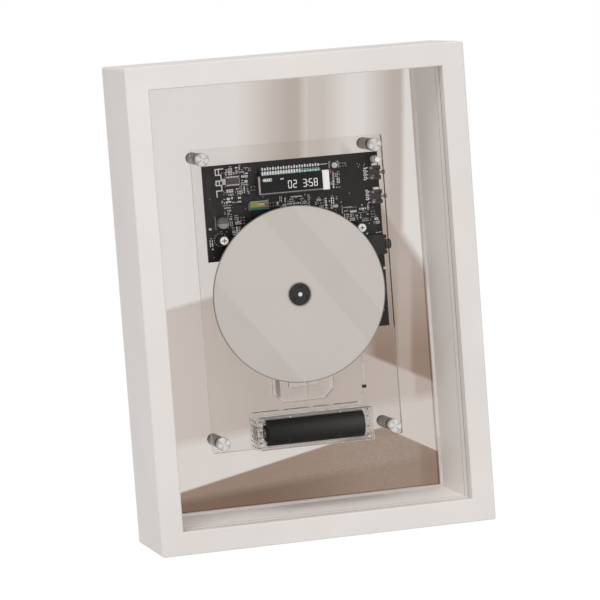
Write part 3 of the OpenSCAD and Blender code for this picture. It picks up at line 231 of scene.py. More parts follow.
def player_sheet():
    """Clear sheet: see-through faces with a little gloss, and cut edges that catch the light."""
    haze, edge, gloss, rough = 0.005, 0.42, 0.45, 0.06
    m = Nodes("player_sheet")
    c = m.coord()
    x, _, z = m.split(c)[0:3]
    wave = m.noise(c, 35.0, 2.0)
    fine = m.noise(c, 700.0)
    normal = m.add("ShaderNodeNewGeometry").outputs["Normal"]
    side = m.remap(m.size_of(m.split(normal)[1]), 1.0, 0.0, 0.35, 0.85)
    fres = m.add("ShaderNodeFresnel", {"IOR": 1.49})
    fac = m.plus(m.times(side, edge), m.times(fres.outputs[0], gloss))
    fac = m.plus(fac, m.spread(wave, haze * 0.6, haze * 1.4), clamp=True)
    # the edge by the headphone socket lies in shade
    shade = m.times(m.remap(x, 0.0, 1.0, 0.0655, 0.066), m.remap(z, 0.0, 1.0, 0.131, 0.134))
    cut_edge = m.mix(shade, (0.80, 0.77, 0.74), (0.10, 0.075, 0.06))
    col = m.mix(side, (0.03, 0.029, 0.028), cut_edge)
    p = m.paint(col, m.spread(fine, rough, rough + 0.06), Normal=m.bump(wave, 0.05, 0.0004))
    return m.veil(fac, (0.985, 0.98, 0.975), p)


def moulded(name, opacity, base, rough=0.1, shade_glow=0.0):
    """Moulded clear plastic that veils what lies behind each wall; shade_glow is a painted glow that keeps it
    pale in shade.
    """
    m = Nodes(name)
    c = m.coord()
    flow = m.noise(c, 160.0)
    fine = m.noise(c, 900.0)
    edge = m.add("ShaderNodeLayerWeight", {"Blend": 0.35})
    fac = m.plus(m.spread(flow, opacity * 0.6, opacity * 1.5),
                 m.times(edge.outputs["Fresnel"], 0.35), clamp=True)
    col = m.mix(m.spread(flow, 0.0, 1.0), [v * 0.8 for v in base], base)
    # painted light: the emission glows to keep the plastic pale in shade
    p = m.paint(col, m.spread(fine, rough, rough + 0.08), Normal=m.bump(flow, 0.15, 0.0003),
                Emission_Color=col, Emission_Strength=shade_glow)
    return m.veil(fac, (0.99, 0.988, 0.986), p)


def frame_paint(name, low, high, shade_glow=0.0):
    """Sprayed paint: faint clouds, light flecks and an orange peel surface; shade_glow is a painted glow that
    keeps it pale in shade.
    """
    m = Nodes(name)
    c = m.coord()
    cloud = m.noise(c, 14.0)
    peel = m.noise(c, 900.0, 2.0)
    fine = m.noise(m.stretch(c, (300, 300, 300)), 8.0, 4.0)
    col = m.mix(m.spread(cloud, 0.0, 1.0), rgb(low), rgb(high))
    col = m.mix(m.remap(fine, 0.0, 0.12, 0.55, 0.8), col, rgb("DAD4D0"))
    # painted light: the emission glows to keep the paint pale in shade
    return m.finish(m.paint(col, m.spread(peel, 0.42, 0.52), Normal=m.bump(peel, 0.10, 0.00012),
                            Emission_Color=col, Emission_Strength=shade_glow))


# painted shade of folds seen in the pane: where each rises and falls, and the tone of its shade; and how they
# lean from a height
FOLD_SHADES = ((-26, 12, 18, 24, 0.50), (18, 26, 36, 54, 0.28), (64, 86, 91, 95, 0.46))
LEAN, LEAN_FROM = 0.0776, 306.0


def back_pane():
    """Clear back with a soft warm tone: painted shade in upright fold bands and at the right, a lighter field
    low down, a brown one under it with a painted shadow low along it.
    """
    m = Nodes("back_pane_clear")
    c = m.coord()
    x, _, z = m.split(c)[0:3]

    def under(xa, za, xb, zb, soft=1.5):
        """1 below the line through two places, soft at the line, all in millimetres."""
        slope = (zb - za) / (xb - xa)
        line = m.plus(m.times(x, slope), (za - xa * slope) * MM)
        return m.remap(m.minus(z, line), 1.0, 0.0, -soft * MM, soft * MM)

    # painted shade: leaning folds and a darker patch at the right, above the lighter field
    u = m.minus(x, m.times(m.minus(z, LEAN_FROM * MM), LEAN))
    fold_shade = 0.0
    for a, b, c1, d, tone in FOLD_SHADES:
        fold_shade = m.plus(fold_shade, m.times(m.hump(u, a, b, c1, d), tone))
    right_shade = m.times(under(75.4, 209.0, 98.3, 169.0, 6.0), m.remap(z, 1.0, 0.62, 0.112, 0.172))
    mild = m.minus(1.0, m.times(m.hump(x, 70, 76, 84, 90), 0.03))
    right_shade = m.times(m.times(right_shade, mild), m.remap(x, 0.0, 1.0, 0.040, 0.060))
    upper = m.math("MAXIMUM", fold_shade, right_shade)
    upper = m.minus(upper, m.times(m.hump(u, 88, 91, 98, 101), m.remap(z, 0.25, 0.0, 0.12, 0.20)))
    # the field under them, and the lightest one below that
    shelf = m.plus(0.33, m.times(m.remap(x, 0.0, 1.0, -0.09, -0.03), 0.09))
    shelf = m.plus(shelf, m.times(m.remap(x, 0.0, 1.0, 0.084, 0.087), 0.16))
    field = m.math("MINIMUM", under(-85.6, 157.2, -54.9, 162.4), under(51.3, 113.5, 98.3, 89.9))
    dark = m.blend(field, upper, shelf)
    light = m.plus(0.12, m.times(m.remap(x, 0.0, 1.0, 0.0, 0.08), 0.14))
    dark = m.blend(under(-84.4, 64.3, 79.0, 78.6, 4.0), dark, light)
    # the brown field with its fine grain
    brown = m.math("MINIMUM", under(-63.3, 36.2, 15.4, 52.3, 0.6), under(62.1, 60.6, 99.6, 39.8, 0.6))
    rug = m.plus(m.remap(x, 1.0, 0.86, -0.03, 0.06), m.spread(m.noise(c, 1100.0), -0.16, 0.16))
    rug = m.plus(rug, m.remap(x, 0.0, 0.3, 0.084, 0.092))
    dark = m.blend(brown, dark, rug)
    cloud = m.noise(m.stretch(c, (9, 1, 3.5)), 1.0, 2.0)
    dark = m.plus(dark, m.spread(cloud, -0.03, 0.03), clamp=True)
    # painted shadow along the bottom of the brown field
    foot = m.times(under(-85.0, 25.5, 60.0, 35.5, 3.0), m.remap(x, 1.0, 0.25, -0.03, 0.045))
    foot = m.times(foot, brown)
    # the tone stops at the inner edge of the ring
    inside = m.times(
        m.remap(m.size_of(x), 1.0, 0.0, (PANE_X - 0.2) * MM, (PANE_X + 0.2) * MM),
        m.remap(m.size_of(m.minus(z, ZC * MM)), 1.0, 0.0, (PANE_Z - 0.2) * MM, (PANE_Z + 0.2) * MM))
    dark = m.times(dark, inside)
    tint = m.mix(dark, (0.906, 0.886, 0.872), (0.586, 0.499, 0.442))
    tint = m.mix(m.times(foot, inside), tint, (0.47, 0.385, 0.33))
    tint = m.mix(inside, (0.995, 0.993, 0.99), tint)
    p = m.paint(m.mix(dark, rgb("CFC8C2"), rgb("6F6157")), m.spread(m.noise(c, 500.0), 0.18, 0.26),
                Normal=m.bump(cloud, 0.03, 0.0004))
    return m.veil(m.remap(inside, 0.02, 0.12), tint, p)


CAP_RINGS = 26000.0                         # waves of the turned rings, radians for a metre
KNURL_ROUND, KNURL_ALONG = 30.0, 7500.0     # lines round a post, radians for a metre along it


def turned_cap():
    """Turned aluminium: fine rings on the end face, soft rays of painted highlight and shade round each of
    the four caps, and painted shade at the back of each cap.
    """
    m = Nodes("turned_cap")
    c = m.coord()
    xyz = m.split(c)
    dx, dz = m.from_post(xyz)
    angle = m.math("ARCTAN2", dz, dx)

    def rays(turn, count):
        return m.size_of(m.math("SINE", m.times(m.plus(angle, turn), count)))

    rings = m.math("SINE", m.times(m.length(dx, dz), CAP_RINGS))
    grain = m.noise(m.stretch(c, (900, 200, 900)), 1.0)
    # painted highlight and shade: rays of sheen round each cap
    col = m.mix(m.math("POWER", rays(0.5, 2.0), 0.8), rgb("B9B5B1"), rgb("E9E7E5"))
    col = m.mix(m.remap(rays(0.2, 3.0), 0.75, 0.0, 0.0, 0.16), col, rgb("8C8986"))
    col = m.mix(m.remap(rings, 0.0, 0.10, -1.0, 1.0), col, rgb("A3A09D"))
    # painted shade at the back of each cap
    col = m.mix(m.times(m.remap(xyz[1], 0.0, 1.0, 0.0028, 0.0034), 0.6), col, rgb("4A4440"))
    return m.finish(m.paint(col, m.spread(grain, 0.34, 0.48), Normal=m.bump(rings, 0.06, 0.00006),
                            Metallic=0.4))


def knurled():
    """Barrel of a post: fine crossed lines, ends painted dark as shade and a bright ring near the front."""
    m = Nodes("knurled_post")
    c = m.coord()
    xyz = m.split(c)
    y = xyz[1]
    dx, dz = m.from_post(xyz)
    turn = m.times(m.math("ARCTAN2", dz, dx), KNURL_ROUND)
    along = m.times(y, KNURL_ALONG)
    grid = m.times(m.plus(m.math("SINE", m.plus(turn, along)), m.math("SINE", m.minus(turn, along))), 0.5)
    col = m.mix(m.remap(grid, 0.0, 1.0, -0.6, 0.6), rgb("8F8985"), rgb("B4ADA8"))
    # painted shade at both ends of the barrel, by the cap and by the pane
    front = m.remap(y, 1.0, 0.0, 0.0112, 0.0118)
    rear_shade = m.remap(y, 0.0, 1.0, 0.0265, 0.0272)
    col = m.mix(m.times(m.plus(front, rear_shade, clamp=True), 0.75), col, rgb("4A433F"))
    col = m.mix(m.times(m.hump(y, 11.8, 12.2, 13.2, 13.6), 0.7), col, rgb("E0DDDA"))
    return m.finish(m.paint(col, m.spread(m.noise(c, 90.0), 0.36, 0.5), Normal=m.bump(grid, 0.25, 0.0001),
                            Metallic=0.3))


def disc_print():
    """Matt pale print with faint slanting bands, a thin rim line painted dark as shade, and a darker hub
    line.
    """
    m = Nodes("disc_print")
    c = m.coord()
    x, _, z = m.split(c)[0:3]
    up = m.minus(z, ZC * MM)
    r = m.length(x, up)
    slant = m.plus(m.times(x, 0.8), m.times(up, 0.6))
    band = m.hump(slant, 14, 15.5, 34, 35.5)
    low = m.remap(slant, 1.0, 0.0, -0.038, -0.0365)
    tone = m.plus(m.times(band, 0.5), m.times(low, 0.6), clamp=True)
    fine = m.noise(c, 1200.0)
    col = m.mix(tone, rgb("C9C2BD"), rgb("BDB5AF"))
    col = m.mix(m.remap(m.noise(c, 25.0), 0.0, 0.35, 0.3, 0.75), col, rgb("CDC7C3"))
    # painted shade along the rim, where the disc's edge lies in shade
    rim = m.times(m.remap(r, 0.0, 1.0, (DISC_R - 0.75) * MM, (DISC_R - 0.45) * MM), 0.8)
    hub = m.times(m.remap(r, 1.0, 0.0, (HUB_R - 0.2) * MM, (HUB_R + 0.2) * MM), 0.55)
    col = m.mix(m.plus(rim, hub, clamp=True), col, rgb("6B635D"))
    return m.finish(m.paint(col, m.spread(fine, 0.38, 0.5), Normal=m.bump(fine, 0.05, 0.00005)))


def board_mask():
    """Black solder mask with a faint copper pattern showing through."""
    m = Nodes("board_mask")
    c = m.coord()
    cell = m.add("ShaderNodeTexVoronoi", {"Vector": c, "Scale": 230.0},
                 feature="DISTANCE_TO_EDGE", distance="CHEBYCHEV")
    lines = m.remap(cell.outputs["Distance"], 1.0, 0.0, 0.02, 0.06)
    col = m.mix(m.spread(m.noise(c, 120.0), 0.0, 1.0), rgb("151011"), rgb("1F191A"))
    col = m.mix(m.times(lines, 0.3), col, rgb("352E2D"))
    return m.finish(m.paint(col, m.spread(m.noise(c, 900.0), 0.30, 0.42),
                            Normal=m.bump(lines, 0.10, 0.00006)))


def cell_wrap():
    """Shrink sleeve: matt black, with faint lengthwise lines and a painted highlight, strongest in a band
    along its length and growing towards its right end.
    """
    m = Nodes("cell_wrap")
    c = m.coord()
    draw = m.noise(m.stretch(c, (30, 900, 900)), 1.0)
    x, _, z = m.split(c)[0:3]
    col = m.mix(m.spread(draw, 0.0, 1.0), rgb("0B0A0A"), rgb("151413"))
    # painted highlight: a band along the cell, stronger towards the right
    band = m.plus(0.25, m.times(m.hump(z, 67.5, 72.5, 75.5, 79.5), 0.75))
    col = m.mix(m.times(band, m.remap(x, 0.15, 1.0, -0.028, 0.034)), col, rgb("3C3B38"))
    return m.finish(m.paint(col, m.spread(m.noise(c, 800.0), 0.55, 0.70), Normal=m.bump(draw, 0.12, 0.0001),
                            Specular_IOR_Level=0.25))


def split_tone(name, axis, level, low, high, fleck="7E7A78"):
    """One tone on the near side of a place along an axis, in millimetres, and another beyond it."""
    m = Nodes(name)
    c = m.coord()
    fine = m.noise(c, 2500.0)
    along = m.split(c)["xyz".index(axis)]
    col = m.mix(m.remap(along, 0.0, 1.0, (level - 0.1) * MM, (level + 0.1) * MM), rgb(low), rgb(high))
    col = m.mix(m.spread(fine, 0.0, 0.12), col, rgb(fleck))
    return m.finish(m.paint(col, m.spread(fine, 0.38, 0.5), Normal=m.bump(fine, 0.1, 0.0001)))


def glow(name, base, strength):
    """Lit plastic with a faint grain."""
    m = Nodes(name)
    base = rgb(base)
    col = m.mix(m.spread(m.noise(m.coord(), 1500.0, 2.0), 0.0, 0.12), base, [v * 0.9 for v in base])
    return m.finish(m.paint(col, 0.4, Emission_Color=col, Emission_Strength=strength))


M = {
    "paint": frame_paint("frame_paint", "E3DEDB", "E9E5E2"),
    # painted light: the lining and the ring take a lighter copy of the frame's white against their shade
    # inside the frame, and the ring also glows a little
    "liner": frame_paint("liner_paint_shade_lightened", "EFEBE8", "F6F3F0"),
    "ring": frame_paint("ring_paint_shade_lightened", "EFEBE8", "F6F3F0", shade_glow=0.12),
    "pane": back_pane(),
    "sheet": player_sheet(),
    # painted light: the holder and the housing glow a little to stay pale in shade
    "holder": moulded("moulded_clear", 0.06, (0.86, 0.82, 0.79), shade_glow=0.08),
    "housing": moulded("housing_clear", 0.08, (0.97, 0.93, 0.90), 0.12, shade_glow=0.30),
    "satin": knurled(),
    "rod": rod_metal(),
    "cap": turned_cap(),
    "board": board_mask(),
    "disc": disc_print(),
    "cell": cell_wrap(),
    # lines of painted shade, a veil of painted shade and lines of painted highlight on the clear parts and
    # the capacitor; the soft lines draw the housing's painted edge lines and the lining's joints
    "line_dark": moulded("rim_shadow", 0.55, (0.12, 0.10, 0.085), 0.3),
    "rim_shade_veil": moulded("rim_shade_veil", 0.30, (0.20, 0.175, 0.16), 0.2),
    "highlight_line": moulded("rim_highlight", 0.55, (0.88, 0.83, 0.79), 0.2),
    "line_soft": moulded("rim_soft", 0.22, (0.42, 0.38, 0.35), 0.2),
    # painted light: the lead sleeves glow a little to stay pale in shade
    "lead": moulded("lead_sleeve", 0.55, (0.80, 0.74, 0.70), 0.4, shade_glow=0.25),
    # capacitor top: painted shade on its upper half, lighter below
    "can": split_tone("capacitor_can", "z", 213.2, "C2C0BF", "7C7876"),
    "lever": split_tone("lever_plastic", "x", 65.2, "4C4646", "A09995"),
    "pin": split_tone("pin_metal", "y", 14.3, "2A2628", "6E6A6C"),
    "cyan": split_tone("cyan_film", "x", 6.0, "C2DAD8", "7DB4AF"),
    "support": split_tone("board_support", "z", 230.0, "2A2829", "FFFFFF", fleck="8A8784"),
    "fitting": split_tone("wire_fitting", "z", 110.0, "131212", "BDBAB6", fleck="8A8784"),
    "digit": glow("display_digit", "F4F6F7", 0.35),
    "lit": glow("backlight_block", "FAFAF8", 0.35),
}

# Solid finishes: name, colour, gloss, metal, variation, mottle in mm, bump, grain in mm
SURFACES = {
    "zinc": ("zinc_steel", "C9C8C6", 0.28, 1.0, 0.08, 3.0, 0.10, 0.2),
    "motor": ("motor_case", "B9B8B5", 0.30, 1.0, 0.07, 5.0, 0.10, 0.3),
    "white": ("white_plastic", "F3F2F0", 0.42, 0.0, 0.04, 3.0, 0.08, 0.2),
    "black_glass": ("display_glass", "040406", 0.16, 0.0, 0.10, 9.0, 0.02, 0.3),
    # painted highlight for the bezel's edges
    "edge": ("bezel_glint", "CFCBCB", 0.42, 0.0, 0.12, 3.0, 0.12, 0.2),
    "grey": ("grey_plastic", "B9B7B4", 0.45, 0.0, 0.06, 3.0, 0.12, 0.2),
    "bezel": ("bezel_plastic", "5B5557", 0.42, 0.0, 0.12, 3.0, 0.12, 0.2),
    "chip": ("chip_plastic", "655C61", 0.55, 0.0, 0.12, 2.0, 0.2, 0.12),
    "dark_chip": ("dark_chip", "2B2A2E", 0.55, 0.0, 0.12, 2.0, 0.2, 0.12),
    "ceramic": ("ceramic", "B3A8AA", 0.5, 0.0, 0.35, 1.2, 0.1, 0.1),
    "black": ("black_plastic", "19191B", 0.42, 0.0, 0.15, 2.0, 0.15, 0.2),
    "socket": ("socket_plastic", "353130", 0.45, 0.0, 0.12, 2.0, 0.15, 0.2),
    "smoky": ("smoky_plastic", "4E4848", 0.30, 0.0, 0.14, 3.0, 0.1, 0.2),
    "screw": ("bright_screw", "F0EEEC", 0.34, 0.2, 0.14, 1.2, 0.25, 0.25),
    "collar": ("collar_plastic", "5E595B", 0.42, 0.0, 0.10, 2.0, 0.15, 0.2),
    "film": ("ribbon_film", "1E1D1E", 0.32, 0.0, 0.15, 2.0, 0.1, 0.3),
    "teal": ("teal_film", "2F8E8C", 0.32, 0.0, 0.14, 1.2, 0.1, 0.2),
    "lime": ("lime_film", "B4B64A", 0.38, 0.0, 0.22, 0.9, 0.1, 0.15),
    "black_dot": ("clip_black", "161515", 0.5, 0.0, 0.2, 1.0, 0.1, 0.2),
    "rubber": ("rubber", "151515", 0.8, 0.0, 0.2, 1.5, 0.3, 0.15),
    "shaft": ("polished_shaft", "F2F1EE", 0.12, 1.0, 0.03, 1.5, 0.05, 0.2),
    "lens": ("lens_coat", "6F8290", 0.08, 0.0, 0.1, 2.0, 0.02, 0.3),
    "gear": ("gear_plastic", "E4E1DA", 0.45, 0.0, 0.05, 2.0, 0.12, 0.2),
    "brass": ("gear_brass", "D0A85A", 0.28, 1.0, 0.08, 1.5, 0.1, 0.15),
    "silk": ("silk_print", "F2F0F2", 0.6, 0.0, 0.10, 1.0, 0.1, 0.15),
    "solder": ("solder", "FBFAFA", 0.42, 0.0, 0.06, 0.8, 0.15, 0.1),
    "copper": ("covered_trace", "3B3633", 0.36, 0.0, 0.15, 1.5, 0.1, 0.2),
    "antenna": ("antenna_trace", "F2EEEE", 0.45, 0.0, 0.10, 1.5, 0.1, 0.2),
    "red": ("red_part", "B03A2C", 0.45, 0.0, 0.15, 1.0, 0.1, 0.15),
    "yellow": ("yellow_part", "CDBB4A", 0.45, 0.0, 0.12, 1.0, 0.1, 0.15),
    "orange": ("orange_part", "C0762F", 0.45, 0.0, 0.12, 1.0, 0.1, 0.15),
    "cream": ("cream_part", "D9D6B8", 0.45, 0.0, 0.08, 1.0, 0.1, 0.15),
}
# painted light: white print, solder and the aerial glow a little to stay bright in shade
MARK_GLOW = {"Emission_Color": (1.0, 0.97, 1.0, 1.0), "Emission_Strength": 0.16}
EXTRA = {"lens": {"Coat_Weight": 1.0}, "silk": MARK_GLOW, "solder": MARK_GLOW, "antenna": MARK_GLOW}
for key, values in SURFACES.items():
    M[key] = surface(*values, **EXTRA.get(key, {}))

# CAD nodes by finish
PAINTED = {
    "paint": "rail_top rail_bottom rail_left rail_right",
    "liner": "liner_top liner_bottom liner_left liner_right",
    "ring": "back_ring",
    "pane": "back_pane",
    "sheet": "player_panel",
    "holder": "battery_holder",
    "housing": "mech_housing",
    "zinc": "ring_screws hanger_plates hanger_screws post_screws mech_screws small_screws "
            "battery_contacts battery_spring crystal",
    "pin": "display_pins",
    "screw": "board_screws",
    "satin": "post_barrels",
    "rod": "guide_rods",
    "cap": "post_caps",
    "motor": "spindle_motor sled_motor",
    "board": "circuit_board",
    "white": "edge_lamp",
    "lit": "display_backlight",
    "support": "board_supports",
    "black_glass": "display_glass",
    "grey": "ribbon_connectors",
    "bezel": "display_bezel",
    "fitting": "wire_fittings",
    "chip": "main_chip",
    "dark_chip": "small_chips",
    "ceramic": "chip_parts",
    "can": "large_capacitor",
    "black": "turntable_hub hub_pawl_1 hub_pawl_2 hub_pawl_3 pickup_carriage",
    "socket": "headphone_socket",
    "smoky": "switch_bodies",
    "lever": "upper_lever lower_lever",
    "film": "pickup_ribbon",
    "lead": "battery_wires",
    "rubber": "mech_dampers",
    "shaft": "motor_shaft",
    "disc": "disc",
    "lens": "pickup_lens",
    "gear": "drive_gear",
    "brass": "motor_pinion",
    "cell": "battery_cell",
}
for key, names in PAINTED.items():
    for name in names.split():
        data = nodes[name].data
        data.materials.clear()
        data.materials.append(M[key])


# ---- mesh helpers ----
def solid(name, bm, mat, body="frame", bevel=0.0):
    me = bpy.data.meshes.new(name)
    bmesh.ops.recalc_face_normals(bm, faces=bm.faces)
    bm.to_mesh(me)
    bm.free()
    me.materials.append(M[mat])
    obj = bpy.data.objects.new(name, me)
    bpy.context.scene.collection.objects.link(obj)
    if bevel:
        b = obj.modifiers.new("bevel", "BEVEL")
        b.width = bevel * MM
        b.segments = 2
        b.limit_method = "ANGLE"
    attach(obj, body)


def add_box(bm, x0, x1, y0, y1, z0, z1):
    v = [bm.verts.new((x * MM, y * MM, z * MM)) for x in (x0, x1) for y in (y0, y1) for z in (z0, z1)]
    for f in ((0, 1, 3, 2), (4, 6, 7, 5), (0, 4, 5, 1), (2, 3, 7, 6), (0, 2, 6, 4), (1, 5, 7, 3)):
        bm.faces.new([v[i] for i in f])


def add_prism(bm, points, y0, y1):
    """An X-Z outline between two depths."""
    a = [bm.verts.new((x * MM, y0 * MM, z * MM)) for x, z in points]
    b = [bm.verts.new((x * MM, y1 * MM, z * MM)) for x, z in points]
    n = len(points)
    bm.faces.new(a)
    bm.faces.new(b[::-1])
    for i in range(n):
        bm.faces.new((a[i], b[i], b[(i + 1) % n], a[(i + 1) % n]))


def add_stroke(bm, points, half, y0, y1):
    """A line through X-Z places, twice half wide, between two depths."""
    for (xa, za), (xb, zb) in zip(points, points[1:]):
        d = math.hypot(xb - xa, zb - za)
        nx, nz = -(zb - za) / d * half, (xb - xa) / d * half
        add_prism(bm, [(xa + nx, za + nz), (xb + nx, zb + nz),
                       (xb - nx, zb - nz), (xa - nx, za - nz)], y0, y1)


def add_turned(bm, r0, r1, d0, d1, steps, place):
    """A ring from radius r0 to r1 and depth d0 to d1; place turns (across, up, depth) into a place."""
    loops = []
    for r, d in ((r0, d0), (r1, d0), (r1, d1), (r0, d1)):
        turns = [2 * math.pi * i / steps for i in range(steps)]
        loops.append([bm.verts.new(place(r * math.cos(t), r * math.sin(t), d)) for t in turns])
    for k in range(4):
        a, b = loops[k], loops[(k + 1) % 4]
        for i in range(steps):
            bm.faces.new((a[i], a[(i + 1) % steps], b[(i + 1) % steps], b[i]))


def add_ring(bm, x, z, r0, r1, y0, y1, steps=40):
    """A ring about an axis along Y."""
    add_turned(bm, r0, r1, y0, y1, steps, lambda a, b, d: ((x + a) * MM, d * MM, (z + b) * MM))


def add_collar(bm, r0, r1, x0, x1):
    """A ring about the axis of the headphone socket."""
    add_turned(bm, r0, r1, x0, x1, 36, lambda a, b, d: (d * MM, (SOCKET_Y + a) * MM, (SOCKET_Z + b) * MM))


def boxes(name, items, mat, bevel=0.0):
    """One piece from boxes given as x0, x1, y0, y1, z0, z1 in millimetres."""
    bm = bmesh.new()
    for item in items:
        add_box(bm, *item)
    solid(name, bm, mat, bevel=bevel)


# ---- display ----
TIME = (("0", 0.2), ("2", 3.7), ("3", 10.6), ("5", 14.8), ("8", 18.3))      # digit and left edge
DIGIT_Z, DIGIT_W, DIGIT_H, DIGIT_T = 233.2, 2.65, 5.3, 0.52
SEGMENTS = {"0": "abcdef", "2": "abged", "3": "abgcd", "5": "afgcd", "8": "abcdefg"}


def digit(bm, char, x, z, w, h, t, y0, y1):
    """A bold seven segment digit with its lower left corner at x, z."""
    a = t / 2

    def level(zc):
        add_prism(bm, [(x + a * 0.7, zc), (x + a * 1.5, zc + a), (x + w - a * 1.5, zc + a),
                       (x + w - a * 0.7, zc), (x + w - a * 1.5, zc - a), (x + a * 1.5, zc - a)], y0, y1)

    def upright(xc, za, zb):
        add_prism(bm, [(xc, za + a * 0.3), (xc + a, za + a * 1.2), (xc + a, zb - a * 1.2),
                       (xc, zb - a * 0.3), (xc - a, zb - a * 1.2), (xc - a, za + a * 1.2)], y0, y1)

    top, mid, low = z + h - a, z + h / 2, z + a
    left, right = x + a, x + w - a
    strokes = {"a": (level, top), "g": (level, mid), "d": (level, low),
               "f": (upright, left, mid, top), "b": (upright, right, mid, top),
               "e": (upright, left, low, mid), "c": (upright, right, low, mid)}
    for s in SEGMENTS[char]:
        draw, *place = strokes[s]
        draw(*place)


def display():
    """Time, battery sign and dots on the glass, the strip above it and painted highlights on the bezel's
    edges.
    """
    bm = bmesh.new()
    y0, y1 = GLASS - 0.05, GLASS + 0.02
    for char, x in TIME:
        digit(bm, char, x, DIGIT_Z, DIGIT_W, DIGIT_H, DIGIT_T, y0, y1)
    for z in (234.0, 236.3):
        add_box(bm, 13.85, 14.4, y0, y1, z, z + 0.6)
    # battery sign
    x0, x1, z0, z1, w = -16.7, -10.9, 238.9, 240.9, 0.26
    add_box(bm, x0, x1, y0, y1, z0, z0 + w)
    add_box(bm, x0, x1, y0, y1, z1 - w, z1)
    add_box(bm, x0, x0 + w, y0, y1, z0 + w, z1 - w)
    add_box(bm, x1 - w, x1, y0, y1, z0 + w, z1 - w)
    add_box(bm, x0 - 0.5, x0, y0, y1, z0 + 0.6, z1 - 0.6)
    for i in range(3):
        add_box(bm, x0 + 0.5 + i * 1.6, x0 + 1.7 + i * 1.6, y0, y1, z0 + 0.5, z1 - 0.5)
    solid("display_figures", bm, "digit")
    boxes("display_dots", [(-4.9, -3.9, y0, y1, 239.5, 240.4), (-3.5, -2.6, y0, y1, 239.6, 240.5)], "silk")
    # conductor strip above the glass: white fingers on a cyan band, shorter towards the right,
    # with a comb above them and dark gaps between them
    lo, hi, n = -17.4, 23.6, 22
    band_low, band_high = 243.1, 245.7
    pitch = (hi - lo) / n
    front = GLASS + 1.1
    y0, y1 = front - 0.1, front + 0.02

    def teeth(start, end, z0, z1, depth=y0):
        """One box in each pitch, from start to end of it; z0 and z1 give its height by its number."""
        return [(lo + (i + start) * pitch, lo + (i + end) * pitch, depth, y1, z0(i), z1(i)) for i in range(n)]

    boxes("display_strip_band", [(lo, hi, front - 0.05, y1, band_low, band_high)], "cyan")
    boxes("display_strip_fingers", teeth(0, 0.55, lambda i: 243.3 + 0.5 * (i % 2),
                                         lambda i: band_high if i < n * 0.65 else 244.5), "solder")
    boxes("display_comb", teeth(0.1, 0.6, lambda i: 246.5, lambda i: 248.5 - 0.4 * (i % 2)), "solder")
    boxes("display_strip_gaps", teeth(0.72, 0.92, lambda i: 244.6, lambda i: 245.8, front - 0.12),
          "black_dot")
    # painted highlights along the bezel's left side and lower edge
    boxes("bezel_glint", [(-20.3, -19.15, 9.62, 9.72, 231.0, 242.4),
                         (-20.3, 24.4, 9.62, 9.72, 230.55, 230.95)], "edge")


display()


# ---- board details ----
PART_GAP, ROW_GAP, MARGIN = 0.45, 0.25, 0.2     # between parts, between rows, to what is kept free
END_PROUD = 0.03                                # metal ends in front of a part's body
FILL, TRIES = 0.5, 9                            # share of a field's number made, tries for each
rng = random.Random(7)
# where small parts sit: x0, x1, z0, z1 and the field's number
BUSY = [(-42.5, -25.2, 231.0, 251.0, 120), (-45.5, -27.5, 226.0, 231.5, 26), (-45.0, -34.0, 215.0, 230.5, 44),
        (-41.0, -33.0, 204.5, 215.0, 34), (-8.2, 16.2, 218.6, 229.2, 84), (18.5, 36.5, 217.0, 224.5, 40),
        (37.5, 57.4, 204.8, 218.0, 84), (31.0, 38.4, 229.5, 243.5, 46), (58.5, 64.2, 202.5, 209.0, 12),
        (-55.8, -51.5, 196.0, 204.0, 4), (-33.0, -22.0, 244.0, 251.0, 14)]
# what stays free of them: x0, x1, z0, z1
KEEP_OUT = [(-50.9, -41.9, 209.4, 218.2), (-41.8, -32.0, 237.6, 244.8), (-45.2, -41.2, 238.5, 243.8),
            (-22.0, 30.5, 229.4, 249.0), (-27.0, -13.2, 219.8, 227.0), (45.5, 53.0, 198.6, 205.2),
            (-53.0, -45.6, 198.6, 206.0), (30.5, 37.5, 243.6, 250.4), (59.7, 65.7, 244.6, 250.4),
            (57.6, 66.0, 216.8, 243.4), (51.7, 66.0, 181.5, 196.4)]


def free(x, z, w, h):
    """Whether a field from x, z of size w, h misses all that is kept free."""
    return not any(x + w > a and x < b and z + h > c and z < d for a, b, c, d in KEEP_OUT)


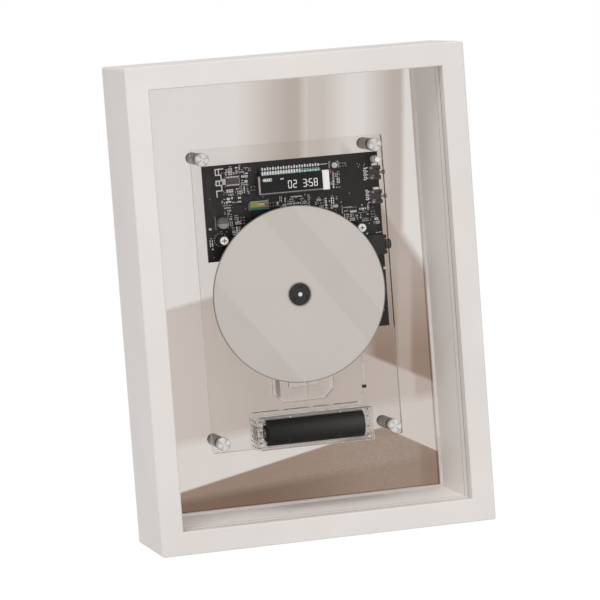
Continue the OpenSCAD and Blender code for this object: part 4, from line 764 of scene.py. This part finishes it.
def place_parts():
    """Small two-ended parts in short rows: body and two metal ends, in the board's busy places."""
    taken, bodies, ends = [], {"ceramic": [], "dark_chip": [], "white": [], "chip": []}, []
    for x0, x1, z0, z1, count in BUSY:
        made = tries = 0
        while made < count * FILL and tries < count * TRIES:
            tries += 1
            long = rng.choice((1.1, 1.5, 2.0))
            wide = long * rng.choice((0.5, 0.6))
            flat = rng.random() < 0.5
            w, h = (long, wide) if flat else (wide, long)
            cols, rows = rng.choice(((1, 1), (3, 1), (1, 3), (2, 2), (4, 1), (2, 1)))
            px, pz = w + PART_GAP, h + PART_GAP
            gw, gh = cols * px, rows * pz
            if gw > x1 - x0 or gh > z1 - z0:
                continue
            x = rng.uniform(x0, x1 - gw)
            z = rng.uniform(z0, z1 - gh)
            cx, cz = x + gw / 2, z + gh / 2
            if not free(x - MARGIN, z - MARGIN, gw + 2 * MARGIN, gh + 2 * MARGIN):
                continue
            if any(abs(cx - a) < (gw + c) / 2 + ROW_GAP and abs(cz - b) < (gh + d) / 2 + ROW_GAP
                   for a, b, c, d in taken):
                continue
            taken.append((cx, cz, gw, gh))
            kind = rng.choices(("ceramic", "dark_chip", "white", "chip"), (0.22, 0.40, 0.18, 0.20))[0]
            front = BOARD - rng.uniform(0.3, 0.55)
            e = long * rng.choice((0.2, 0.3))
            proud = front - END_PROUD
            for a, b in [(x + i * px, z + j * pz) for i in range(cols) for j in range(rows)]:
                made += 1
                if flat:
                    bodies[kind].append((a + e, a + w - e, front, BOARD, b, b + h))
                    ends += [(a, a + e, proud, BOARD, b, b + h), (a + w - e, a + w, proud, BOARD, b, b + h)]
                else:
                    bodies[kind].append((a, a + w, front, BOARD, b + e, b + h - e))
                    ends += [(a, a + w, proud, BOARD, b, b + e), (a, a + w, proud, BOARD, b + h - e, b + h)]
    for kind, items in bodies.items():
        boxes("parts_" + kind, items, kind)
    boxes("parts_ends", ends, "solder")
    return taken


taken = place_parts()


def silk():
    """Printed marks: short ticks and corner lines beside the parts, none of them lettering."""
    y0, y1 = BOARD - 0.04, BOARD + 0.01
    marks = []                      # x0, x1, z0, z1
    for x, z, w, h in taken:
        if rng.random() < 0.45:
            n = rng.choice((2, 3, 4))
            side = rng.choice((-1, 1))
            for k in range(n):
                a = x - 0.6 + k * 0.42
                b = z + side * (h / 2 + 0.55)
                if free(a - 0.1, b - 0.2, 0.4, 0.4):
                    marks.append((a, a + 0.26, b - 0.22, b + 0.22))
    # upright lines beside the capacitor, the main chip and the ribbon's plug
    for x0, x1, z0, z1 in KEEP_OUT[:2] + KEEP_OUT[4:5]:
        marks += [(x, x + 0.15, z0, z1) for x in (x0, x1 - 0.15)]
    # tick rows beside the two switches
    for x, z, n in ((54.7, 233.6, 6), (55.2, 219.9, 5)):
        for k in range(n):
            a, b = x + 0.35 * (k % 2), z + k * 1.5
            marks += [(a, a + 2.1, b, b + 0.45), (a + 0.2, a + 0.7, b + 0.45, b + 1.05),
                      (a + 1.4, a + 1.9, b + 0.45, b + 1.05)]
    # thin line from the pin row to the white screw, and the screw's corner marks
    marks += [(23.8, 29.9, 246.9, 247.25), (31.0, 31.3, 243.9, 248.2), (37.4, 37.7, 243.9, 248.2),
              (31.0, 32.2, 248.0, 248.3), (36.4, 37.7, 248.0, 248.3)]
    # ring of ticks round the lower left screw
    for k in range(16):
        a = math.radians(22.5 * k)
        x, z = -SCREW_X + SCREW_R * math.cos(a), SCREW_Z + SCREW_R * math.sin(a)
        marks.append((x - 0.2, x + 0.2, z - 0.25, z + 0.25))
    # pads above that screw and by the other one
    marks += [(-55.6, -54.9, 209.4, 210.6), (-54.6, -53.9, 209.4, 210.6), (53.9, 55.0, 196.7, 197.6),
              (60.6, 62.2, 197.1, 197.5), (62.8, 64.3, 197.2, 197.6)]
    boxes("board_marks", [(x0, x1, y0, y1, z0, z1) for x0, x1, z0, z1 in marks], "silk")


silk()


def traces():
    """Covered tracks that run with 45 degree bends, and small plated holes."""
    bm = bmesh.new()

    def run(*points):
        add_stroke(bm, points, 0.11, BOARD - 0.03, BOARD + 0.01)

    for k in range(9):
        o = k * 0.62
        run((-24.0 + o, 219.0), (-24.0 + o, 212.0 - o), (-30.0 + o, 206.0 - o), (-30.0 + o, 192.0))
    for k in range(8):
        o = k * 0.6
        run((-10.0 + o, 215.0), (-10.0 + o, 209.0 - o), (8.0 + o, 191.0 - o * 0.1))
    for k in range(7):
        o = k * 0.6
        run((31.0 + o, 214.0), (31.0 + o, 207.0 + o), (40.0 + o, 198.0 + o), (48.0, 198.0 + o))
    for k in range(6):
        o = k * 0.7
        run((61.5 - o, 215.0), (61.5 - o, 198.0), (61.5 - o, 197.2))
        run((61.5 - o, 180.5), (61.5 - o, 150.0 + o * 2), (58.0 - o, 146.5 + o * 2), (58.0 - o, 135.0))
    for k in range(5):
        o = k * 0.65
        run((-55.0 + o, 248.0 - o), (-55.0 + o, 224.0), (-52.5 + o, 221.5), (-52.5 + o, 208.0 + o))
    solid("board_tracks", bm, "copper")

    bm = bmesh.new()

    def hole(x, z):
        add_ring(bm, x, z, 0.13, 0.27, BOARD - 0.045, BOARD + 0.01, 12)

    for _ in range(90):
        x, z = rng.uniform(-56.5, 64.5), rng.uniform(189.0, 251.0)
        clear = not any(abs(x - a) < w / 2 + 0.4 and abs(z - b) < h / 2 + 0.4 for a, b, w, h in taken)
        if clear and free(x - 0.4, z - 0.4, 0.8, 0.8):
            hole(x, z)
    for _ in range(24):
        x, z = rng.uniform(47.5, 64.5), rng.uniform(135.0, 180.0)
        hole(x, z)
    solid("board_vias", bm, "solder")


traces()


def antenna():
    """Printed meander aerial near the board's upper left corner."""
    y0, y1 = BOARD - 0.05, BOARD + 0.01
    x0, x1, w = -48.6, -44.3, 0.6
    levels = (250.2, 246.2, 242.3, 239.2, 235.6)
    inner = x0 + 2.2
    items = [(x0, x1 + (1.6 if k == 0 else 0), y0, y1, z - w, z) for k, z in enumerate(levels)]
    # upright runs between the levels: at the left, at the right and one further in
    for x, low, high in ((x0, levels[1], levels[0] - w), (x0, levels[3], levels[2] - w),
                         (x0, 231.0, levels[4] - w), (x1 - w, levels[2], levels[1] - w),
                         (x1 - w, levels[4], levels[3] - w), (inner, levels[1], levels[0] - w),
                         (inner, levels[3], levels[2] - w)):
        items.append((x, x + w, y0, y1, low, high))
    boxes("aerial", items, "antenna")


antenna()


def fine_parts():
    """Details that sit on the board's larger parts."""
    # capacitor: rims in front and at the foot, a red mark, and a groove drawn as a ring of painted shade
    bm = bmesh.new()
    add_ring(bm, CAN_X, CAN_Z, 3.75, 4.16, CAN_FRONT, CAN_FRONT + 0.24)
    add_ring(bm, CAN_X, CAN_Z, 4.05, 4.18, 12.6, 13.1)
    solid("capacitor_rim", bm, "black")
    bm = bmesh.new()
    arc = [math.radians(60 + 6 * i) for i in range(11)]
    add_prism(bm, [(CAN_X + 3.3 * math.cos(a), CAN_Z + 3.3 * math.sin(a)) for a in arc],
              CAN_FRONT - 0.04, CAN_FRONT + 0.08)
    solid("capacitor_mark", bm, "red")
    bm = bmesh.new()
    add_ring(bm, CAN_X, CAN_Z, 2.55, 2.75, CAN_FRONT - 0.02, CAN_FRONT + 0.1)
    solid("capacitor_groove", bm, "line_dark")
    # crosses in the heads of the two lower screws, painted black as the shade in their recesses
    cross, depth = [], (4.1, 4.55)
    for x in (-SCREW_X, SCREW_X):
        cross += [(x - 1.5, x + 1.5, *depth, SCREW_Z - 0.25, SCREW_Z + 0.25),
                  (x - 0.25, x + 0.25, *depth, SCREW_Z - 1.5, SCREW_Z + 1.5)]
    boxes("screw_recess", cross, "black_dot")
    legs, leg_rows = [], (238.05, 243.4)        # below and above the chip
    for k in range(8):
        x = CHIP_X - CHIP_W / 2 + (k + 0.5) * CHIP_W / 8
        legs += [(x - 0.26, x + 0.26, BOARD - 0.86, BOARD - 0.1, z, z + 0.95) for z in leg_rows]
    boxes("chip_leg_tips", legs, "solder")
    # the ribbon's plug, with its coloured films: x0, x1, y0, y1, z0, z1
    films = {
        "teal": [(-26.3, -13.7, 12.3, RIBBON_PLUG, 220.6, 222.1), (-21.4, -13.8, 12.32, 12.5, 224.9, 225.5)],
        "lime": [(-26.2, -21.7, 12.2, RIBBON_PLUG, 222.3, 226.1)],
        "yellow": [(-21.5, -16.6, 12.25, RIBBON_PLUG, 222.3, 223.2),
                   (-21.5, -17.4, 12.25, RIBBON_PLUG, 225.5, 226.1)],
        "cream": [(-21.5, -16.6, 12.25, RIBBON_PLUG, 223.3, 224.8)],
        "orange": [(-16.4, -13.8, 12.2, RIBBON_PLUG, 222.3, 224.7)],
    }
    for colour, items in films.items():
        boxes("ribbon_plug_" + colour, items, colour)
    boxes("red_parts", [(31.4, 33.8, 14.2, BOARD, 241.2, 242.2), (31.3, 32.2, 14.2, BOARD, 236.2, 236.9)],
          "red", 0.08)
    # switches: leads, rivets, bright strips above and light rings on the bodies
    leads = [(56.9, 58.2, 14.55, BOARD, zc - 3.6 + k * 2.4 - 0.35, zc - 3.6 + k * 2.4 + 0.35)
             for zc in SWITCHES for k in range(4)]
    boxes("switch_leads", leads, "solder", 0.06)
    rivets = [(58.6, 60.2, 10.84, 10.95, zc + s * 3.4 - 0.6, zc + s * 3.4 + 0.6)
              for zc in SWITCHES for s in (-1, 1)]
    boxes("switch_rivets", rivets, "grey", 0.05)
    strips = [(60.6 + k * 1.3, 61.3 + k * 1.3, 11.5, BOARD, zc + 4.9, zc + 6.4)
              for zc in SWITCHES for k in range(3)]
    boxes("switch_strips", strips, "solder", 0.06)
    bm = bmesh.new()
    for zc in SWITCHES:
        add_ring(bm, 60.1, zc - 2.3, 0.62, 0.95, 10.82, 10.92, 20)
    solid("switch_rings", bm, "grey")
    pads = [(x, x + 0.9, BOARD - 0.06, BOARD + 0.01, z, z + 0.9) for x, z in
            ((-54.5, 196.0), (-54.5, 199.0), (-38.0, 193.5), (-20.0, 206.0),
             (22.0, 205.0), (55.0, 168.0), (55.0, 171.0), (60.0, 160.0))]
    boxes("test_pads", pads, "solder")
    # the headphone socket's rim outside the panel and the collar behind it
    bm = bmesh.new()
    add_collar(bm, 1.85, 3.14, 68.5, 69.32)
    solid("socket_rim", bm, "black")
    bm = bmesh.new()
    add_collar(bm, 2.4, 3.44, 65.75, 68.05)
    solid("socket_barrel", bm, "collar")


def clip_shadow_stripe(bm, x0, x1):
    """Narrow black stripe, a painted shadow of a clip, that follows the lower front of the cell's round face.
    """
    inner, outer = CELL_R + 0.01, CELL_R + 0.07
    loops = []
    for i in range(9):
        a = math.radians(-28 - 5.5 * i)
        corners = ((inner, x0), (inner, x1), (outer, x1), (outer, x0))
        loops.append([bm.verts.new((x * MM, (CELL_Y - r * math.cos(a)) * MM, (CELL_Z + r * math.sin(a)) * MM))
                      for r, x in corners])
    for a, b in zip(loops, loops[1:]):
        for k in range(4):
            bm.faces.new((a[k], a[(k + 1) % 4], b[(k + 1) % 4], b[k]))
    bm.faces.new(loops[0])
    bm.faces.new(loops[-1])


def edge_lines():
    """Lines along the rims of the holder, the lining and the housing, and the marks on the cell: painted
    highlights and painted shade on the holder and the housing, painted shadows of the clips on the cell.
    """
    light, dark, veil = [], [], []
    # front of the holder: its rim lines as painted highlights, and a veil of painted shade along its upper
    # and lower edge
    y0, y1 = HOLDER_FRONT - 0.06, HOLDER_FRONT + 0.04
    for z0, z1 in ((83.98, 84.28), (60.92, 61.12)):
        light.append((-40.35, 40.35, y0, y1, z0, z1))
    for x0, x1 in ((-40.38, -40.1), (-38.95, -38.75), (38.75, 38.95), (40.1, 40.38)):
        light.append((x0, x1, y0, y1, 61.15, 83.9))
    behind = (HOLDER_FRONT + 0.06, HOLDER_FRONT + 0.1)
    veil.append((-40.3, 40.3, *behind, 82.7, 83.9))
    veil.append((-38.7, 38.7, *behind, 61.15, 61.95))
    # where its two clips cross the cell: painted shadows of the clips on the cell, and painted highlights on
    # the clips
    marks = bmesh.new()
    clip = (HOLDER_FRONT - 0.64, HOLDER_FRONT - 0.54)
    top = (HOLDER_TOP - 0.1, HOLDER_TOP + 0.02)
    for x in (-17.5, 17.4):
        clip_shadow_stripe(marks, x - 0.45, x + 0.45)
        light.append((x - 0.4, x + 0.4, *clip, 81.6, 82.6))
        light.append((x - 0.9, x + 0.9, 4.0, 4.3, *top))
        light.append((x - 0.5, x + 0.5, *clip, 60.9, 61.6))
    # its top, seen from above: dark gaps along the panel, painted highlights along both long edges and
    # painted shade inside the front one
    for x0, x1 in ((-38.0, -19.2), (-15.8, 2.0), (5.0, 15.6), (19.2, 36.0)):
        dark.append((x0, x1, 4.7, 5.2, HOLDER_TOP - 0.1, HOLDER_TOP + 0.45))
    light.append((-38.0, 38.0, 3.2, 4.2, *top))
    dark.append((-39.0, 39.0, -16.6, -15.9, *top))
    light.append((-39.8, 39.8, -17.44, -16.7, *top))
    # broken reflections at its ends
    end, inside = (-HOLDER_X - 0.06, -HOLDER_X + 0.02), (HOLDER_FRONT + 2.5, HOLDER_FRONT + 2.6)
    for k, z in enumerate((62.6, 65.9, 69.4, 73.2, 76.6, 80.2)):
        a = -40.2 + 0.7 * (k % 2)
        dark.append((a, a + 1.3, y0, y1, z, z + 0.8))
        light.append((a + 1.2, a + 3.4, *inside, z + 1.0, z + 1.9))
        for j in range(3):
            y = -15.8 + 6.6 * j + 1.7 * (k % 2)
            dark.append((*end, y, y + 1.9, z - 0.4, z + 0.9))
            light.append((*end, y + 2.2, y + 4.2, z + 0.5, z + 1.6))
    for k, z in enumerate((62.6, 68.0, 74.8, 79.6)):
        light.append((36.6 + 0.8 * (k % 2), 38.6, *inside, z, z + 0.8))
        dark.append((36.4, 37.2 + 0.6 * (k % 2), *inside, z + 1.6, z + 2.4))
    solid("clip_shadows_on_cell", marks, "black_dot", body="cell")
    boxes("holder_edge_shade_veil", veil, "rim_shade_veil")
    # two fine lines round the lining: depth and width, 0.08 proud of its inner faces
    grooves = []
    for y, w in ((-27.6, 0.9), (-19.0, 0.5)):
        grooves += [(LINER_X - 0.08, LINER_X, y, y + w, LINER_LOW + 0.1, LINER_HIGH - 0.1),
                    (-LINER_X, 0.08 - LINER_X, y, y + w, LINER_LOW + 0.1, LINER_HIGH - 0.1),
                    (0.1 - LINER_X, LINER_X - 0.1, y, y + w, LINER_LOW, LINER_LOW + 0.08),
                    (0.1 - LINER_X, LINER_X - 0.1, y, y + w, LINER_HIGH - 0.08, LINER_HIGH)]
    boxes("liner_groove", grooves, "line_soft")
    boxes("holder_edge_highlight", light, "highlight_line")
    boxes("holder_edge_dark", dark, "line_dark")
    # the housing's painted edge lines that show below the disc, and the painted shade beside its right corner
    y0, y1 = HOUSING_LINE - 0.1, HOUSING_LINE
    bm = bmesh.new()
    add_stroke(bm, [(-21.45, 114.0), (-21.45, 94.7), (-15.0, 88.75), (15.0, 88.75), (21.45, 94.7),
                    (21.45, 114.0)], 0.2, y0, y1)
    solid("housing_edge_light", bm, "line_soft")
    bm = bmesh.new()
    add_prism(bm, [(15.3, 89.5), (20.6, 94.5), (20.2, 94.9), (14.9, 89.9)], y0, y1)
    solid("housing_edge_dark", bm, "line_soft")


fine_parts()
edge_lines()


# ---- stage and light ----
FLOOR_HALF, FLOOR_Z = 6.0, -0.45                # metres
LAMP_AIM = (0, 0, 0.16)
# area lamps: name, place, size, power, colour
LAMPS = (
    ("key", (1.3, -1.9, 1.5), 1.3, 4, (1.0, 0.985, 0.965)),
    ("front", (-0.2, -2.4, 1.2), 1.6, 6, (1.0, 0.99, 0.98)),
    ("top", (-0.9, -1.35, 2.35), 1.3, 30, (1.0, 0.985, 0.975)),
)


def stage():
    """A floor well below the part, pale where it is seen and dimmer in the light that it throws."""
    bm = bmesh.new()
    corners = ((-1, -1), (1, -1), (1, 1), (-1, 1))
    bm.faces.new([bm.verts.new((x * FLOOR_HALF, y * FLOOR_HALF, FLOOR_Z)) for x, y in corners])
    me = bpy.data.meshes.new("floor")
    bm.to_mesh(me)
    bm.free()
    obj = bpy.data.objects.new("floor", me)
    bpy.context.scene.collection.objects.link(obj)
    m = Nodes("floor")
    n = m.noise(m.coord(), 3.0, 2.0)
    grey = m.mix(m.spread(n, 0.0, 1.0), (0.20, 0.199, 0.198), (0.22, 0.219, 0.218))
    weak = m.add("ShaderNodeBsdfDiffuse", {"Color": grey})
    path = m.add("ShaderNodeLightPath").outputs
    seen = m.math("MAXIMUM", path["Is Camera Ray"],
                  m.math("MAXIMUM", path["Is Glossy Ray"], path["Is Transmission Ray"]))
    shine = m.add("ShaderNodeEmission", {"Color": (1.0, 0.995, 0.99), "Strength": m.remap(seen, 0.55, 0.905)})
    me.materials.append(m.finish(m.add("ShaderNodeAddShader", {0: weak.outputs[0], 1: shine.outputs[0]})))


def lights():
    """Three soft lamps and an even sky, which is white where the camera sees it."""
    for name, place, size, power, colour in LAMPS:
        light = bpy.data.lights.new(name, "AREA")
        light.shape = "RECTANGLE"
        light.size = light.size_y = size
        light.energy = power
        light.color = colour
        obj = bpy.data.objects.new(name, light)
        obj.location = place
        obj.rotation_euler = (Vector(LAMP_AIM) - Vector(place)).to_track_quat("-Z", "Y").to_euler()
        bpy.context.scene.collection.objects.link(obj)

    world = bpy.data.worlds.new("world")
    bpy.context.scene.world = world
    world.use_nodes = True
    t = world.node_tree
    t.nodes.clear()

    def background(colour, strength):
        n = t.nodes.new("ShaderNodeBackground")
        n.inputs[0].default_value = colour
        n.inputs[1].default_value = strength
        return n.outputs[0]

    path = t.nodes.new("ShaderNodeLightPath").outputs
    see = t.nodes.new("ShaderNodeMath")
    see.operation = "MAXIMUM"
    t.links.new(path["Is Camera Ray"], see.inputs[0])
    t.links.new(path["Is Transmission Ray"], see.inputs[1])
    mix = t.nodes.new("ShaderNodeMixShader")
    t.links.new(see.outputs[0], mix.inputs[0])
    t.links.new(background((1.0, 0.98, 0.968, 1.0), 0.575), mix.inputs[1])
    t.links.new(background((1.0, 1.0, 1.0, 1.0), 1.0), mix.inputs[2])
    out = t.nodes.new("ShaderNodeOutputWorld")
    t.links.new(mix.outputs[0], out.inputs[0])


stage()
lights()
bpy.context.scene.view_settings.view_transform = "Standard"
bpy.context.scene.view_settings.look = "None"
